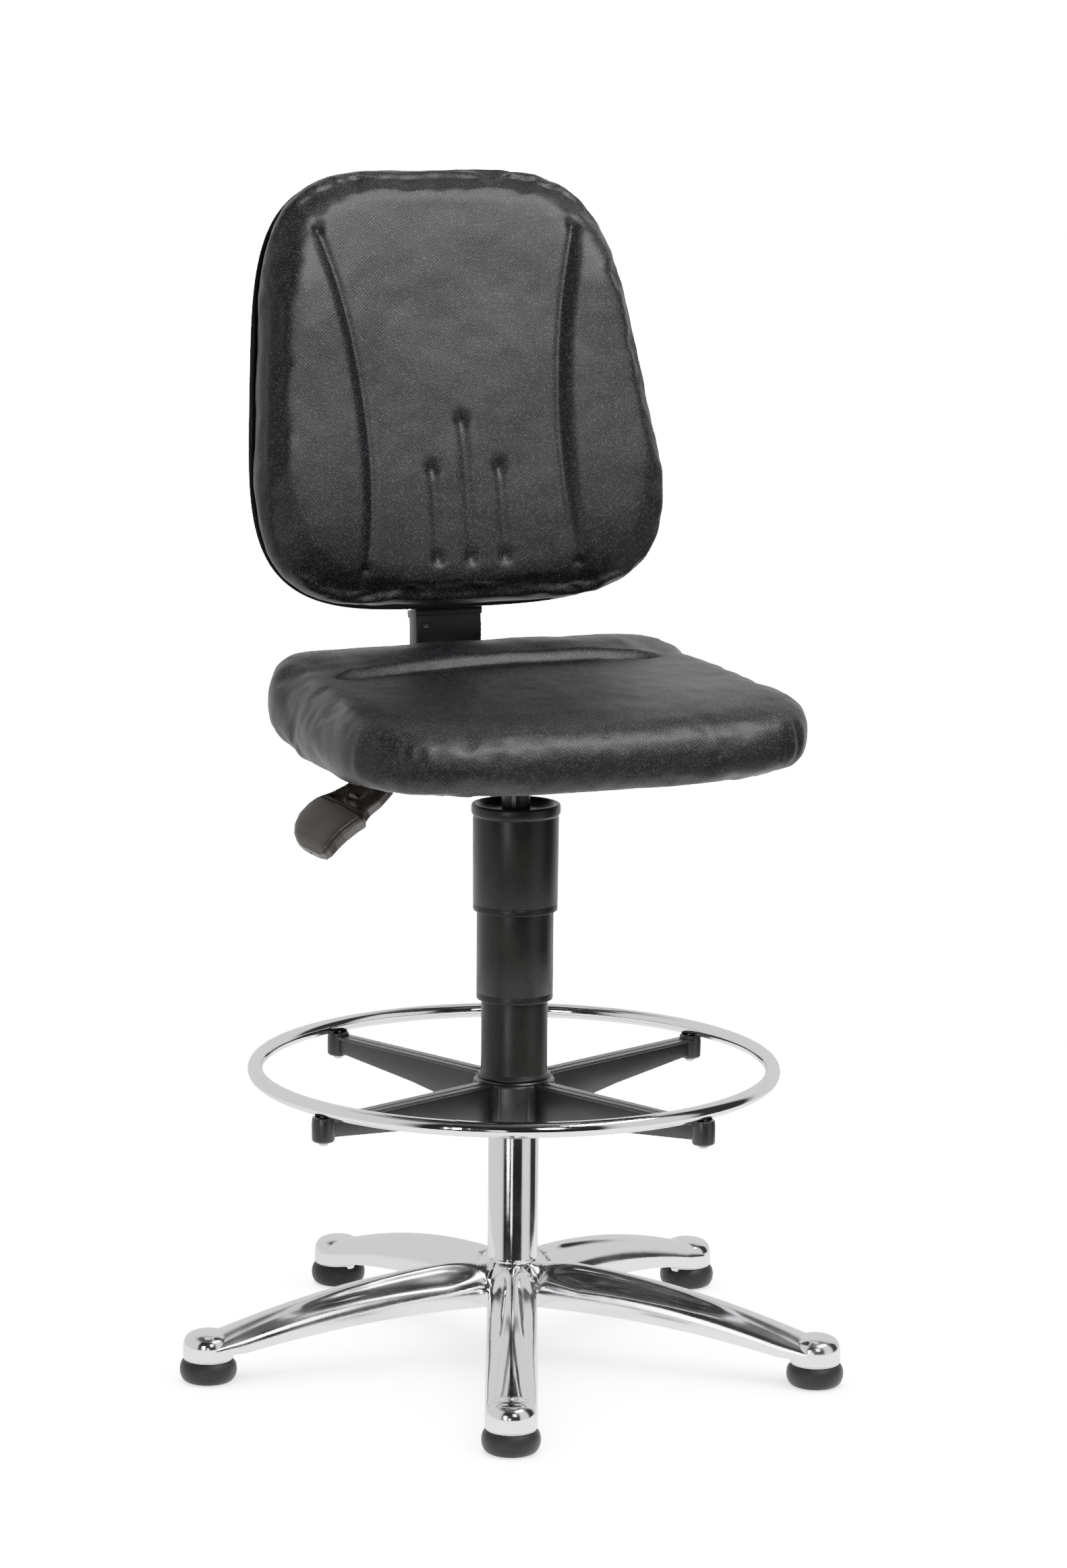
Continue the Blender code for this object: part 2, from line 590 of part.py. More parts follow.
def handle_half(side):
    """Half of the hollow-backed grip, above (+1) or below (-1) its parting line."""
    stations = [(-0.006, 0.0215, 0.0215, 0.0070), (0.012, 0.0255, 0.0220, 0.0076),
                (0.028, 0.0345, 0.0195, 0.0082), (0.040, 0.0420, 0.0235, 0.0085),
                (0.058, 0.0440, 0.0195, 0.0085), (0.072, 0.0385, 0.0180, 0.0080),
                (0.083, 0.0290, 0.0190, 0.0068), (0.090, 0.0110, 0.0130, 0.0045)]
    sections = []
    for along, left, right, thick in stations:
        outline = [(-left, 0.0), (-left, 0.35 * thick), (-0.90 * left, 0.80 * thick),
                   (-0.72 * left, thick), (0.60 * right, thick), (0.86 * right, 0.80 * thick),
                   (right, 0.35 * thick), (right, 0.0)]
        sections.append([
            LEVER_ROOT + LEVER_WAY * along + LEVER_ACROSS * w
            + LEVER_FACE * side * (GAP / 2 + t) for w, t in outline])
    return loft(sections)


def make_lever():
    entry = LEVER_ROOT + LEVER_WAY * ROD_IN_GRIP
    path = [
        (0.0040, 0.0, 0.6174), (-0.0200, 0.0, 0.6170), (-0.0350, 0.0, 0.6165),
        (-0.0500, 0.0, 0.6155), (-0.0640, -0.0010, 0.6135), (-0.0780, -0.0060, 0.6100),
        (-0.0950, -0.0150, 0.6060), *ROD_BEND, tuple(LEVER_ROOT + LEVER_WAY * 0.004), tuple(entry)]
    eye = round_bar(LEVER_PIVOT - Vector((0, 0.0072, 0)), LEVER_PIVOT + Vector((0, 0.0072, 0)),
                    0.0050, 16)
    hole = round_bar(LEVER_PIVOT - Vector((0, 0.02, 0)), LEVER_PIVOT + Vector((0, 0.02, 0)),
                     LEVER_PIN_R + GAP, 12)
    node("lever_rod", "zinc_steel", "lever_axis", swept(path, LEVER_ROD_R, 8), adds=[eye], cuts=[hole])
    for name, side in (("lever_grip_upper", -1), ("lever_grip_lower", 1)):
        bore = swept([LEVER_ROOT + LEVER_WAY * 0.002, LEVER_ROOT + LEVER_WAY * 0.004,
                      LEVER_ROOT + LEVER_WAY * (ROD_IN_GRIP + 0.006)], LEVER_ROD_R + 0.0012, 8)
        mouth = swept([*ROD_BEND[1:], tuple(LEVER_ROOT + LEVER_WAY * 0.006)],
                      LEVER_ROD_R + 0.0012, 8)
        node(name, "brown_black_plastic", "lever_axis", handle_half(side), cuts=[bore, mouth])


# ---------------------------------------------------------------- seat
def seat_thickness(x, y):
    """Cushion depth: a raised rear lip, a dished middle and a front that rolls down."""
    lip = 0.0125 / (1 + math.exp(-(y - 0.085) / 0.012))
    bolster = 0.0050 * min(1.0, abs(x) / 0.19) ** 4
    fall = 0.0140 * max(0.0, (-y - 0.110) / 0.115) ** 2
    return 0.0640 + lip + bolster - fall


def on_seat(x, y, height):
    """From the seat's own plane to the chair."""
    sin, cos = math.sin(SEAT_TILT), math.cos(SEAT_TILT)
    return Vector((x, y * cos - height * sin, SEAT_BASE_Z + y * sin + height * cos))


def seat_outline():
    return rounded_square(SEAT_HALF_WIDTH, SEAT_HALF_DEPTH, SEAT_HALF_DEPTH,
                          SEAT_SQUARENESS, SEAT_TAPER, 32)


def make_seat():
    def place(x, y, share, lift):
        y += SEAT_CENTRE_Y
        return on_seat(x, y, share * seat_thickness(x, y) + lift)

    cushion = pad(seat_outline(), [
        (0.0, 1, 0), (0.40, 1, 0), (0.68, 1, 0), (0.84, 0.985, 0), (0.93, 0.93, 0),
        (0.98, 0.80, 0), (1.0, 0.58, 0), (1.0, 0.34, 0), (0.985, 0.13, 0), (0.955, 0.0, 0),
        (0.900, 0.0, 0), (0.896, 0, SEAT_RECESS), (0.5, 0, SEAT_RECESS),
        (0.0, 0, SEAT_RECESS)], place)
    node("seat_cushion", "charcoal_fabric", "tilt_axis", cushion)

    roof, foot = SEAT_RECESS - GAP, SEAT_SHELL_FOOT
    shell = pad(seat_outline(), [
        (0.0, 0, roof), (0.6, 0, roof), (SEAT_SHELL_SCALE, 0, roof),
        (SEAT_SHELL_SCALE, 0, foot + 0.0015), (SEAT_SHELL_SCALE - 0.015, 0, foot), (0.6, 0, foot),
        (0.0, 0, foot)], place)
    hole_r = SEAT_SCREW_R + 0.0004
    holes = [round_bar(on_seat(x, y, 0.010), on_seat(x, y, 0.0235), hole_r, 12)
             for x, y in SEAT_SCREWS]
    node("seat_shell", "black_plastic", "tilt_axis", shell, cuts=holes)

    plate_top = SEAT_SHELL_FOOT - GAP
    plate_foot = plate_top - SEAT_PLATE_THICK
    ear_in = HOUSING_HALF_X + 0.0010
    plate = loft([[on_seat(x, y, h) for x, h in (
        (-0.100, plate_foot), (0.100, plate_foot), (0.100, plate_top), (-0.100, plate_top))]
        for y in (-0.115, 0.095)])
    ears = []
    for side in (-1, 1):
        near, far = side * ear_in, side * (ear_in + 0.0025)
        ears.append(loft([
            [Vector((x, y, z)) for y, z in (
                (TILT_PIVOT.y - 0.020, 0.6270), (TILT_PIVOT.y - 0.0085, 0.5960),
                (TILT_PIVOT.y, 0.5940), (TILT_PIVOT.y + 0.0085, 0.5960),
                (TILT_PIVOT.y + 0.020, 0.6288))] for x in (near, far)]))
    reach = Vector((0.1, 0, 0))
    cuts = [round_bar(TILT_PIVOT - reach, TILT_PIVOT + reach, MAIN_PIN_R + GAP, 12)]
    cuts += [round_bar(on_seat(x, y, 0.0), on_seat(x, y, 0.03), hole_r, 12)
             for x, y in SEAT_SCREWS]
    node("seat_plate", "black_steel", "tilt_axis", plate, ears, cuts)
    for count, (x, y) in enumerate(SEAT_SCREWS):
        shank = round_bar(on_seat(x, y, plate_foot - 0.002), on_seat(x, y, 0.0230),
                          SEAT_SCREW_R, 12)
        head = round_bar(on_seat(x, y, plate_foot - GAP - 0.003), on_seat(x, y, plate_foot - GAP),
                         0.0058, 12)
        node(f"seat_screw_{count + 1}", "zinc_steel", "tilt_axis", shank, adds=[head])


# ---------------------------------------------------------------- backrest
UP_BAR = Vector((0.0, math.sin(RECLINE), math.cos(RECLINE)))
FORWARD = Vector((0.0, -math.cos(RECLINE), math.sin(RECLINE)))


def on_back(x, u, n):
    """From the backrest's plane to the chair: u up along the bar, n forward from it."""
    return BAR_BEND + Vector((x, 0, 0)) + UP_BAR * u + FORWARD * n


def leaning_box(x_half, u_low, u_high, n_low, n_high):
    return loft([[on_back(x, u, n) for x, n in (
        (-x_half, n_low), (x_half, n_low), (x_half, n_high), (-x_half, n_high))]
        for u in (u_low, u_high)])


def bar_path(start_y, end_u, start_z=None):
    """Centre line of the back bar: under the seat, round its bend, up and leaning back."""
    radius, floor_z, rear_y = 0.030, RECLINE_PIVOT.z, BAR_BEND.y
    points = []
    if start_z is None:
        points = [(start_y, floor_z), (rear_y - radius - 0.03, floor_z)]
        for step in range(7):
            angle = math.pi / 2 * step / 6
            points.append((rear_y - radius + radius * math.sin(angle),
                           floor_z + radius - radius * math.cos(angle)))
    else:
        points = [(rear_y, start_z)]
    below = BAR_BEND - Vector((0, 0, 0.012))
    above = on_back(0, 0.012, 0)
    for step in range(4):
        share = step / 3
        bend = below.lerp(BAR_BEND, share).lerp(BAR_BEND.lerp(above, share), share)
        points.append((bend.y, bend.z))
    top = on_back(0, end_u, 0)
    points.append((top.y, top.z))
    return points


def make_back_bar():
    bar = strip(bar_path(RECLINE_PIVOT.y, BAR_LENGTH), BAR_HALF_WIDTH, BAR_HALF_THICK)
    side = Vector((BAR_HALF_WIDTH, 0, 0))
    eye = round_bar(RECLINE_PIVOT - side, RECLINE_PIVOT + side, 0.0090, 20)
    bore = round_bar(RECLINE_PIVOT - side * 1.5, RECLINE_PIVOT + side * 1.5, MAIN_PIN_R + GAP, 12)
    node("back_bar", "black_steel", "recline_axis", bar, adds=[eye], cuts=[bore])

    cover = strip(bar_path(0, 0.024, 0.6335), 0.0355, 0.0115)
    channel = strip(bar_path(0, 0.060, 0.6200), BAR_HALF_WIDTH + RUNNING_GAP,
                    BAR_HALF_THICK + RUNNING_GAP)
    node("back_bar_cover", "black_plastic", "recline_axis", cover, cuts=[channel])

    cap = leaning_box(0.0310, BAR_LENGTH - 0.010, BAR_LENGTH + 0.003, -0.0055, 0.0055)
    seat = leaning_box(BAR_HALF_WIDTH + GAP, BAR_LENGTH - 0.02, BAR_LENGTH + GAP,
                       -BAR_HALF_THICK - GAP, BAR_HALF_THICK + GAP)
    node("bar_end_cap", "black_plastic", "recline_axis", cap, cuts=[seat])

    teeth, pitch, foot_u = 12, 0.012, 0.050
    rear = -BAR_HALF_THICK - GAP
    outline = [(foot_u - 0.004, rear), (foot_u - 0.004, rear - 0.0022)]
    for count in range(teeth):
        low = foot_u + pitch * count
        outline += [(low, rear - 0.0022), (low, rear - 0.0009),
                    (low + 0.006, rear - 0.0009), (low + pitch - 0.001, rear - 0.0022)]
    outline += [(foot_u + pitch * teeth, rear - 0.0022), (foot_u + pitch * teeth, rear)]
    rack = loft([[on_back(x, u, n) for u, n in outline] for x in (-0.006, 0.006)])
    node("height_rack", "zinc_steel", "recline_axis", rack)


def make_back_carrier():
    low_u, high_u = 0.060, 0.196
    rear_n, front_n = -0.0120, SHELL_REAR_N - GAP
    body = leaning_box(0.0400, low_u, high_u, rear_n, front_n)
    flange_rear = front_n - CARRIER_FLANGE
    flange = leaning_box(0.0580, low_u - 0.006, high_u + 0.006, flange_rear, front_n)
    channel = leaning_box(BAR_HALF_WIDTH + RUNNING_GAP, 0.0, 0.28,
                          -BAR_HALF_THICK - RUNNING_GAP, BAR_HALF_THICK + RUNNING_GAP)
    rack_way = leaning_box(0.0075, 0.0, 0.28, -0.0065, 0.0)
    pawl_room = leaning_box(0.0075, 0.1060, 0.1300, -0.0100, 0.0)
    hole_r = BACK_SCREW_R + 0.0004
    holes = [round_bar(on_back(x, u, 0.0), on_back(x, u, 0.030), hole_r, 12)
             for x, u in BACK_SCREWS]
    node("back_carrier", "black_plastic", "slide_axis", body, adds=[flange],
         cuts=[channel, rack_way, pawl_room] + holes)
    pawl = leaning_box(0.0068, 0.1070, 0.1130, -0.0095, -0.0070)
    node("height_pawl", "zinc_steel", "slide_axis", pawl)
    for count, (x, u) in enumerate(BACK_SCREWS):
        shank = round_bar(on_back(x, u, flange_rear - 0.002), on_back(x, u, SHELL_REAR_N + 0.0075),
                          BACK_SCREW_R, 12)
        head = round_bar(on_back(x, u, flange_rear - GAP - 0.003), on_back(x, u, flange_rear - GAP),
                         0.0045, 12)
        node(f"back_screw_{count + 1}", "zinc_steel", "slide_axis", shank, adds=[head])


def make_backrest():
    middle_u = BACK_BOTTOM_U + BACK_HALF_HEIGHT
    outline = rounded_square(BACK_HALF_WIDTH, BACK_HALF_HEIGHT, BACK_HALF_HEIGHT,
                             BACK_SQUARENESS, BACK_TAPER, 32)

    def place(x, v, share, lift):
        wrap = BACK_WRAP * (x / BACK_HALF_WIDTH) ** 2
        return on_back(x, middle_u + v, SHELL_REAR_N + wrap + lift + share * BACK_PAD_THICK)

    shell_front = SHELL_THICK
    shell = pad(outline, [
        (0.0, 0, shell_front), (0.5, 0, shell_front), (0.95, 0, shell_front),
        (0.985, 0, shell_front), (0.998, 0, 0.007), (0.985, 0, 0.003), (0.95, 0, 0.0),
        (0.5, 0, 0.0), (0.0, 0, 0.0)], place)
    hole_r = BACK_SCREW_R + 0.0004
    holes = [round_bar(on_back(x, u, 0.015), on_back(x, u, SHELL_REAR_N + 0.0082), hole_r, 12)
             for x, u in BACK_SCREWS]
    node("back_shell", "black_plastic", "slide_axis", shell, cuts=holes)

    base = SHELL_THICK + 0.0012  # the two curved faces are facetted
    cushion = pad(outline, [
        (0.0, 0.90, base), (0.40, 0.90, base), (0.68, 0.92, base), (0.84, 0.92, base),
        (0.93, 0.86, base), (0.98, 0.70, base), (1.0, 0.45, base), (1.0, 0.20, base),
        (0.985, 0.0, base), (0.95, 0, base), (0.5, 0, base), (0.0, 0, base)], place)
    node("back_cushion", "charcoal_fabric", "slide_axis", cushion)


# ---------------------------------------------------------------- chair
def make_chair():
    clear_scene()
    add_axis("floor")
    add_axis("swivel_axis", (0, 0, COLUMN_FOOT_Z), "floor")
    add_axis("lift_axis", (0, 0, CYLINDER_FOOT_Z), "swivel_axis")
    add_axis("pin_axis", (0, 0, CYLINDER_TOP_Z), "lift_axis")
    add_axis("ring_axis", (0, 0, SPIDER_HUB_FOOT_Z), "floor")
    add_axis("middle_sleeve_axis", (0, 0, MIDDLE_SLEEVE["foot"]), "floor")
    add_axis("tilt_axis", TILT_PIVOT, "lift_axis")
    add_axis("recline_axis", RECLINE_PIVOT, "lift_axis")
    add_axis("slide_axis", BAR_BEND, "recline_axis")
    add_axis("lever_axis", LEVER_PIVOT, "lift_axis")
    make_base()
    make_column()
    make_gas_spring()
    make_foot_ring()
    make_sleeves()
    make_mechanism()
    make_lever()
    make_seat()
    make_back_bar()
    make_back_carrier()
    make_backrest()


make_chair()
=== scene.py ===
"""Looks of the drafting chair: each piece in the order it is put together, from the floor up."""
import math

import bpy
import numpy as np
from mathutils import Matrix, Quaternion, Vector, noise


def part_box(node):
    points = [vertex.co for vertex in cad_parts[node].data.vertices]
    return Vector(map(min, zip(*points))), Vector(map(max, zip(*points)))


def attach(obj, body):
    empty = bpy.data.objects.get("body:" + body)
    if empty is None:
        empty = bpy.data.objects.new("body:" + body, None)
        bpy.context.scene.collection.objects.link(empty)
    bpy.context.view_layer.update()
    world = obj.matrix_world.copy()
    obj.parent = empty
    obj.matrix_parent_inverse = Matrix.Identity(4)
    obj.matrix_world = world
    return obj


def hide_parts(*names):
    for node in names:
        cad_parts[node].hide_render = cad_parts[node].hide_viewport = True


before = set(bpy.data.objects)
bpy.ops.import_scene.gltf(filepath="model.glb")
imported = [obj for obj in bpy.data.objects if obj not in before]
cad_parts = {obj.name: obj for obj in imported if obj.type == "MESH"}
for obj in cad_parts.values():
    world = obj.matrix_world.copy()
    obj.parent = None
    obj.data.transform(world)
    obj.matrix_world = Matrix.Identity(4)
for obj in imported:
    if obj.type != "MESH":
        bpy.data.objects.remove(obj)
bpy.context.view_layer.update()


# ---- Studio: a white paper sweep, soft boxes and a banded room
# The paper lies under the chair and curves up well away from it on all sides. It is lit to white
# for the camera alone, and the room round it is banded dark and light, because polished metal in
# an all-white room would show nothing but white.
PAPER = "f7f7f7"
PAPER_R = 9.0
PAPER_BEND = 4.0
PAPER_GLOW = 18.0
CAMERA_PLACE = Vector((-1.7449, -4.0700, 1.3476))
CAMERA_AIM = Vector((0.3963, 0.9020, -0.1715))
CAMERA_ROLL = 0.0085
CAMERA_LENS = 105.7


def linear(code):
    """An sRGB hex colour as linear red, green and blue, with full alpha."""
    parts = [int(code[at:at + 2], 16) / 255 for at in (0, 2, 4)]
    return [p / 12.92 if p <= 0.04045 else ((p + 0.055) / 1.055) ** 2.4 for p in parts] + [1.0]


def add_node(tree, kind, inputs=None, **settings):
    """A shader node with its settings; an input is either a value or the socket that feeds it."""
    made = tree.nodes.new(kind)
    for name, value in settings.items():
        setattr(made, name, value)
    for name, value in (inputs or {}).items():
        if isinstance(value, bpy.types.NodeSocket):
            tree.links.new(value, made.inputs[name])
        else:
            made.inputs[name].default_value = value
    return made


def new_finish(name, **principled):
    """A material whose constants sit on the shader's own sockets."""
    material = bpy.data.materials.new(name)
    material.use_nodes = True
    shader = material.node_tree.nodes["Principled BSDF"]
    for socket, value in principled.items():
        shader.inputs[socket.replace("_", " ")].default_value = value
    return material, material.node_tree, shader


paper, tree, shader = new_finish("white_background_paper", Roughness=0.85)
place = add_node(tree, "ShaderNodeTexCoord").outputs["Object"]
tooth = add_node(tree, "ShaderNodeTexNoise", {"Vector": place, "Scale": 900.0})
tree.links.new(add_node(tree, "ShaderNodeBump", {
    "Height": tooth.outputs["Fac"], "Strength": 0.05, "Distance": 0.0002}).outputs["Normal"],
    shader.inputs["Normal"])
# Painted shadow: where the chair stands close over it, ambient occlusion turns the paper's glow
# down, so it loses some of its light.
near = add_node(tree, "ShaderNodeAmbientOcclusion", {"Distance": 0.22}, samples=8)
painted_shadow_glow = add_node(tree, "ShaderNodeMapRange", {
    "Value": near.outputs["AO"], "From Min": 0.35, "From Max": 0.97,
    "To Min": 0.12 * PAPER_GLOW, "To Max": PAPER_GLOW})
tree.links.new(painted_shadow_glow.outputs["Result"], shader.inputs["Emission Strength"])
shader.inputs["Base Color"].default_value = linear(PAPER)
shader.inputs["Emission Color"].default_value = linear(PAPER)


def spun(name, outline, steps, centre, bevel=0.0):
    """A half section of (radius, height) corners, drawn by extruding a point and spun round an
    upright axis."""
    bpy.ops.object.select_all(action="DESELECT")
    bpy.ops.mesh.primitive_plane_add(size=0.001)
    piece = bpy.context.object
    piece.name = name
    bpy.ops.object.mode_set(mode="EDIT")
    bpy.ops.mesh.select_mode(type="VERT")
    bpy.ops.mesh.select_all(action="SELECT")
    bpy.ops.mesh.merge(type="CENTER")
    corners = [Vector((centre[0] + r, centre[1], z)) for r, z in outline]
    bpy.ops.transform.translate(value=corners[0])
    for before, after in zip(corners, corners[1:]):
        bpy.ops.mesh.extrude_region_move(TRANSFORM_OT_translate={"value": after - before})
    bpy.ops.mesh.select_all(action="SELECT")
    bpy.ops.mesh.remove_doubles(threshold=1e-6)
    bpy.ops.mesh.select_all(action="SELECT")
    bpy.ops.mesh.spin(steps=steps, angle=math.tau, center=(centre[0], centre[1], 0), axis=(0, 0, 1))
    bpy.ops.mesh.select_all(action="SELECT")
    bpy.ops.mesh.remove_doubles(threshold=2e-6)
    bpy.ops.mesh.normals_make_consistent(inside=False)
    bpy.ops.object.mode_set(mode="OBJECT")
    if bevel:
        rounding = piece.modifiers.new("rounded corners", "BEVEL")
        rounding.width, rounding.segments = bevel, 3
        rounding.limit_method, rounding.angle_limit = "ANGLE", math.radians(28)
        bpy.ops.object.modifier_apply(modifier=rounding.name)
    return piece


curve = [(PAPER_R + PAPER_BEND * math.sin(a), PAPER_BEND * (1 - math.cos(a)))
         for a in [math.pi / 2 * step / 16 for step in range(17)]]
sweep = spun("studio_sweep", [(0.0, 0.0)] + curve + [(PAPER_R + PAPER_BEND, 8.0)], 96, (0, 0))
bpy.ops.object.shade_smooth()
sweep.data.materials.append(paper)
sweep.visible_diffuse = sweep.visible_glossy = sweep.visible_shadow = False

# What the polished parts see of the paper: the lit patch that the chair stands on.
patch_paper, tree, shader = new_finish("white_paper_lit_patch", Roughness=0.85)
place = add_node(tree, "ShaderNodeTexCoord").outputs["Object"]
mottle = add_node(tree, "ShaderNodeTexNoise", {"Vector": place, "Scale": 3.0, "Detail": 2.0})
glow = add_node(tree, "ShaderNodeMapRange", {
    "Value": mottle.outputs["Fac"], "From Min": 0.3, "From Max": 0.7, "To Min": 1.7, "To Max": 2.2})
tree.links.new(glow.outputs["Result"], shader.inputs["Emission Strength"])
shader.inputs["Emission Color"].default_value = linear(PAPER)
patch = spun("lit_patch", [(0.0, 0.0006), (0.86, 0.0006)], 64, (0, 0))
patch.data.materials.append(patch_paper)
patch.visible_camera = patch.visible_diffuse = patch.visible_shadow = False

camera_data = bpy.data.cameras.new("camera")
camera_data.lens = CAMERA_LENS
camera = bpy.data.objects.new("camera", camera_data)
bpy.context.scene.collection.objects.link(camera)
camera.location = CAMERA_PLACE
camera.rotation_mode = "QUATERNION"
aimed = CAMERA_AIM.to_track_quat("-Z", "Y")
camera.rotation_quaternion = aimed @ Quaternion((0, 0, 1), CAMERA_ROLL)
bpy.context.scene.camera = camera

TARGET = Vector((0.0, 0.0, 0.60))
for name, spot, size, power in (
        ("key_softbox", (0.95, -1.55, 2.75), (1.6, 0.7), 170),
        ("fill_softbox", (-1.8, -1.75, 0.55), (0.40, 0.90), 22),
        ("front_softbox", (-0.35, -2.7, 1.55), (0.45, 0.80), 26),
        ("top_softbox", (0.2, 0.5, 3.0), (1.4, 1.4), 8),
        ("low_front_card", (-0.95, -1.72, 0.16), (0.20, 0.26), 1.3)):
    light_data = bpy.data.lights.new(name, "AREA")
    light_data.shape = "RECTANGLE"
    light_data.size, light_data.size_y = size
    light_data.energy = power
    light = bpy.data.objects.new(name, light_data)
    bpy.context.scene.collection.objects.link(light)
    light.location = spot
    light.rotation_euler = (TARGET - Vector(spot)).to_track_quat("-Z", "Y").to_euler()

# Round the room from the camera's right, through the far side and the left, to behind the camera.
ROOM_BANDS = ((0.000, 1.60), (0.100, 1.50), (0.145, 0.03), (0.352, 0.03), (0.385, 1.70),
              (0.455, 1.70), (0.495, 0.05), (0.570, 0.05), (0.610, 1.60), (1.000, 1.60))
world = bpy.data.worlds.new("studio_room")
bpy.context.scene.world = world
world.use_nodes = True
tree = world.node_tree
way = add_node(tree, "ShaderNodeTexCoord").outputs["Generated"]
turned = add_node(tree, "ShaderNodeMapping", {
    "Vector": way, "Rotation": (0, 0, math.atan2(CAMERA_AIM.x, CAMERA_AIM.y))},
    vector_type="POINT")
around = add_node(tree, "ShaderNodeTexGradient", {"Vector": turned.outputs["Vector"]},
                  gradient_type="RADIAL")
bands = add_node(tree, "ShaderNodeValToRGB", {"Fac": around.outputs["Fac"]})
bands.color_ramp.interpolation = "EASE"
for place, level in ROOM_BANDS[1:-1]:
    bands.color_ramp.elements.new(place)
for stop, (place, level) in zip(bands.color_ramp.elements, ROOM_BANDS):
    stop.position, stop.color = place, (level, level, level, 1.0)
height = add_node(tree, "ShaderNodeSeparateXYZ", {"Vector": way})
ceiling = add_node(tree, "ShaderNodeMapRange", {
    "Value": height.outputs["Z"], "From Min": 0.74, "From Max": 0.90})
floor_share = add_node(tree, "ShaderNodeMapRange", {
    "Value": height.outputs["Z"], "From Min": -0.45, "From Max": -0.75})
walls = add_node(tree, "ShaderNodeMix", {
    "Factor": ceiling.outputs["Result"], "A": bands.outputs["Color"],
    "B": (0.14, 0.135, 0.13, 1.0)}, data_type="RGBA")
room = add_node(tree, "ShaderNodeMix", {
    "Factor": floor_share.outputs["Result"], "A": walls.outputs["Result"],
    "B": (0.50, 0.50, 0.50, 1.0)}, data_type="RGBA")
tree.links.new(room.outputs["Result"], tree.nodes["Background"].inputs["Color"])
tree.nodes["Background"].inputs["Strength"].default_value = 1.0


# ---- Base star
# One die casting in aluminium, polished all over: five arched arms with a flute scooped out of
# each flank, hollow underneath, on a hub that is bored for the column.
BASE_ARMS = 5
FRONT_ARM = math.radians(-113.5)
GLIDE_CIRCLE = 0.3115
ARM_HALF = 0.025
CROTCH = 0.0425
HUB_TOP = 0.1000
RIM = 0.0256
CASTING_WALL = 0.0038
ALUMINIUM = "dfe0e2"

low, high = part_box("column_tube")
AXIS = Vector(((low.x + high.x) / 2, (low.y + high.y) / 2, 0.0))

polished, tree, shader = new_finish("aluminium_die_cast_polished", Metallic=1.0, Roughness=0.11)
shader.inputs["Base Color"].default_value = linear(ALUMINIUM)
place = add_node(tree, "ShaderNodeTexCoord").outputs["Object"]
# The buffing wheel leaves the skin a little uneven over 25 mm, and hazier in patches.
swell = add_node(tree, "ShaderNodeTexNoise", {"Vector": place, "Scale": 40.0, "Detail": 1.0})
haze = add_node(tree, "ShaderNodeTexNoise", {"Vector": place, "Scale": 14.0, "Detail": 4.0})
dull = add_node(tree, "ShaderNodeMapRange", {
    "Value": haze.outputs["Fac"], "From Min": 0.3, "From Max": 0.7, "To Min": 0.08, "To Max": 0.19})
tree.links.new(dull.outputs["Result"], shader.inputs["Roughness"])
tree.links.new(add_node(tree, "ShaderNodeBump", {
    "Height": swell.outputs["Fac"], "Strength": 0.08, "Distance": 0.0012}).outputs["Normal"],
    shader.inputs["Normal"])


def smooth_step(low, high, value):
    share = np.clip((value - low) / (high - low), 0.0, 1.0)
    return share * share * (3 - 2 * share)


def shaped_grid(name, across, along, shape):
    """A grid primitive whose points are moved to shape(u, v), with u and v from 0 to 1."""
    bpy.ops.object.select_all(action="DESELECT")
    bpy.ops.mesh.primitive_grid_add(x_subdivisions=across, y_subdivisions=along, size=2.0)
    piece = bpy.context.object
    piece.name = name
    for vertex in piece.data.vertices:
        vertex.co = shape((vertex.co.x + 1) / 2, (vertex.co.y + 1) / 2)
    bpy.ops.object.mode_set(mode="EDIT")
    bpy.ops.mesh.select_all(action="SELECT")
    bpy.ops.mesh.remove_doubles(threshold=2e-5)
    bpy.ops.mesh.select_all(action="SELECT")
    bpy.ops.mesh.normals_make_consistent(inside=False)
    bpy.ops.object.mode_set(mode="OBJECT")
    return piece


def only(piece):
    """Makes a piece the active one and the only one selected."""
    bpy.ops.object.select_all(action="DESELECT")
    bpy.context.view_layer.objects.active = piece
    piece.select_set(True)


def apply_all(piece):
    only(piece)
    for modifier in list(piece.modifiers):
        bpy.ops.object.modifier_apply(modifier=modifier.name)


def joined(name, pieces):
    """Several meshes made one object."""
    bpy.ops.object.select_all(action="DESELECT")
    for piece in pieces:
        piece.select_set(True)
    bpy.context.view_layer.objects.active = pieces[0]
    if len(pieces) > 1:
        bpy.ops.object.join()
    bpy.context.object.name = name
    return bpy.context.object


def finished(piece, name, material, body, replaces=(), smooth_deg=30):
    """A made piece gets its name, finish, body, slot and the CAD nodes it stands for."""
    only(piece)
    piece.name = name
    piece.data.name = name
    piece.data.materials.clear()
    piece.data.materials.append(material)
    bpy.ops.object.shade_smooth_by_angle(angle=math.radians(smooth_deg))
    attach(piece, body)
    if replaces:
        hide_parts(*replaces)
    return piece


def between(stations, v):
    """The numbers at v, from 0 to 1, along a list of evenly spaced stations."""
    spot = v * (len(stations) - 1)
    first = min(int(spot), len(stations) - 2)
    share = spot - first
    return [a * (1 - share) + b * share for a, b in zip(stations[first], stations[first + 1])]


def arm_ridge(r):
    reach = max((r - 0.06) / (GLIDE_CIRCLE - 0.06), 0.0)
    return HUB_TOP - 0.0170 * reach - 0.0370 * reach ** 2


def arm_foot(r):
    reach = max((r - 0.06) / (GLIDE_CIRCLE - 0.06), 0.0)
    return max(0.0545 - 0.0050 * reach - 0.0270 * reach ** 2, 0.0292)


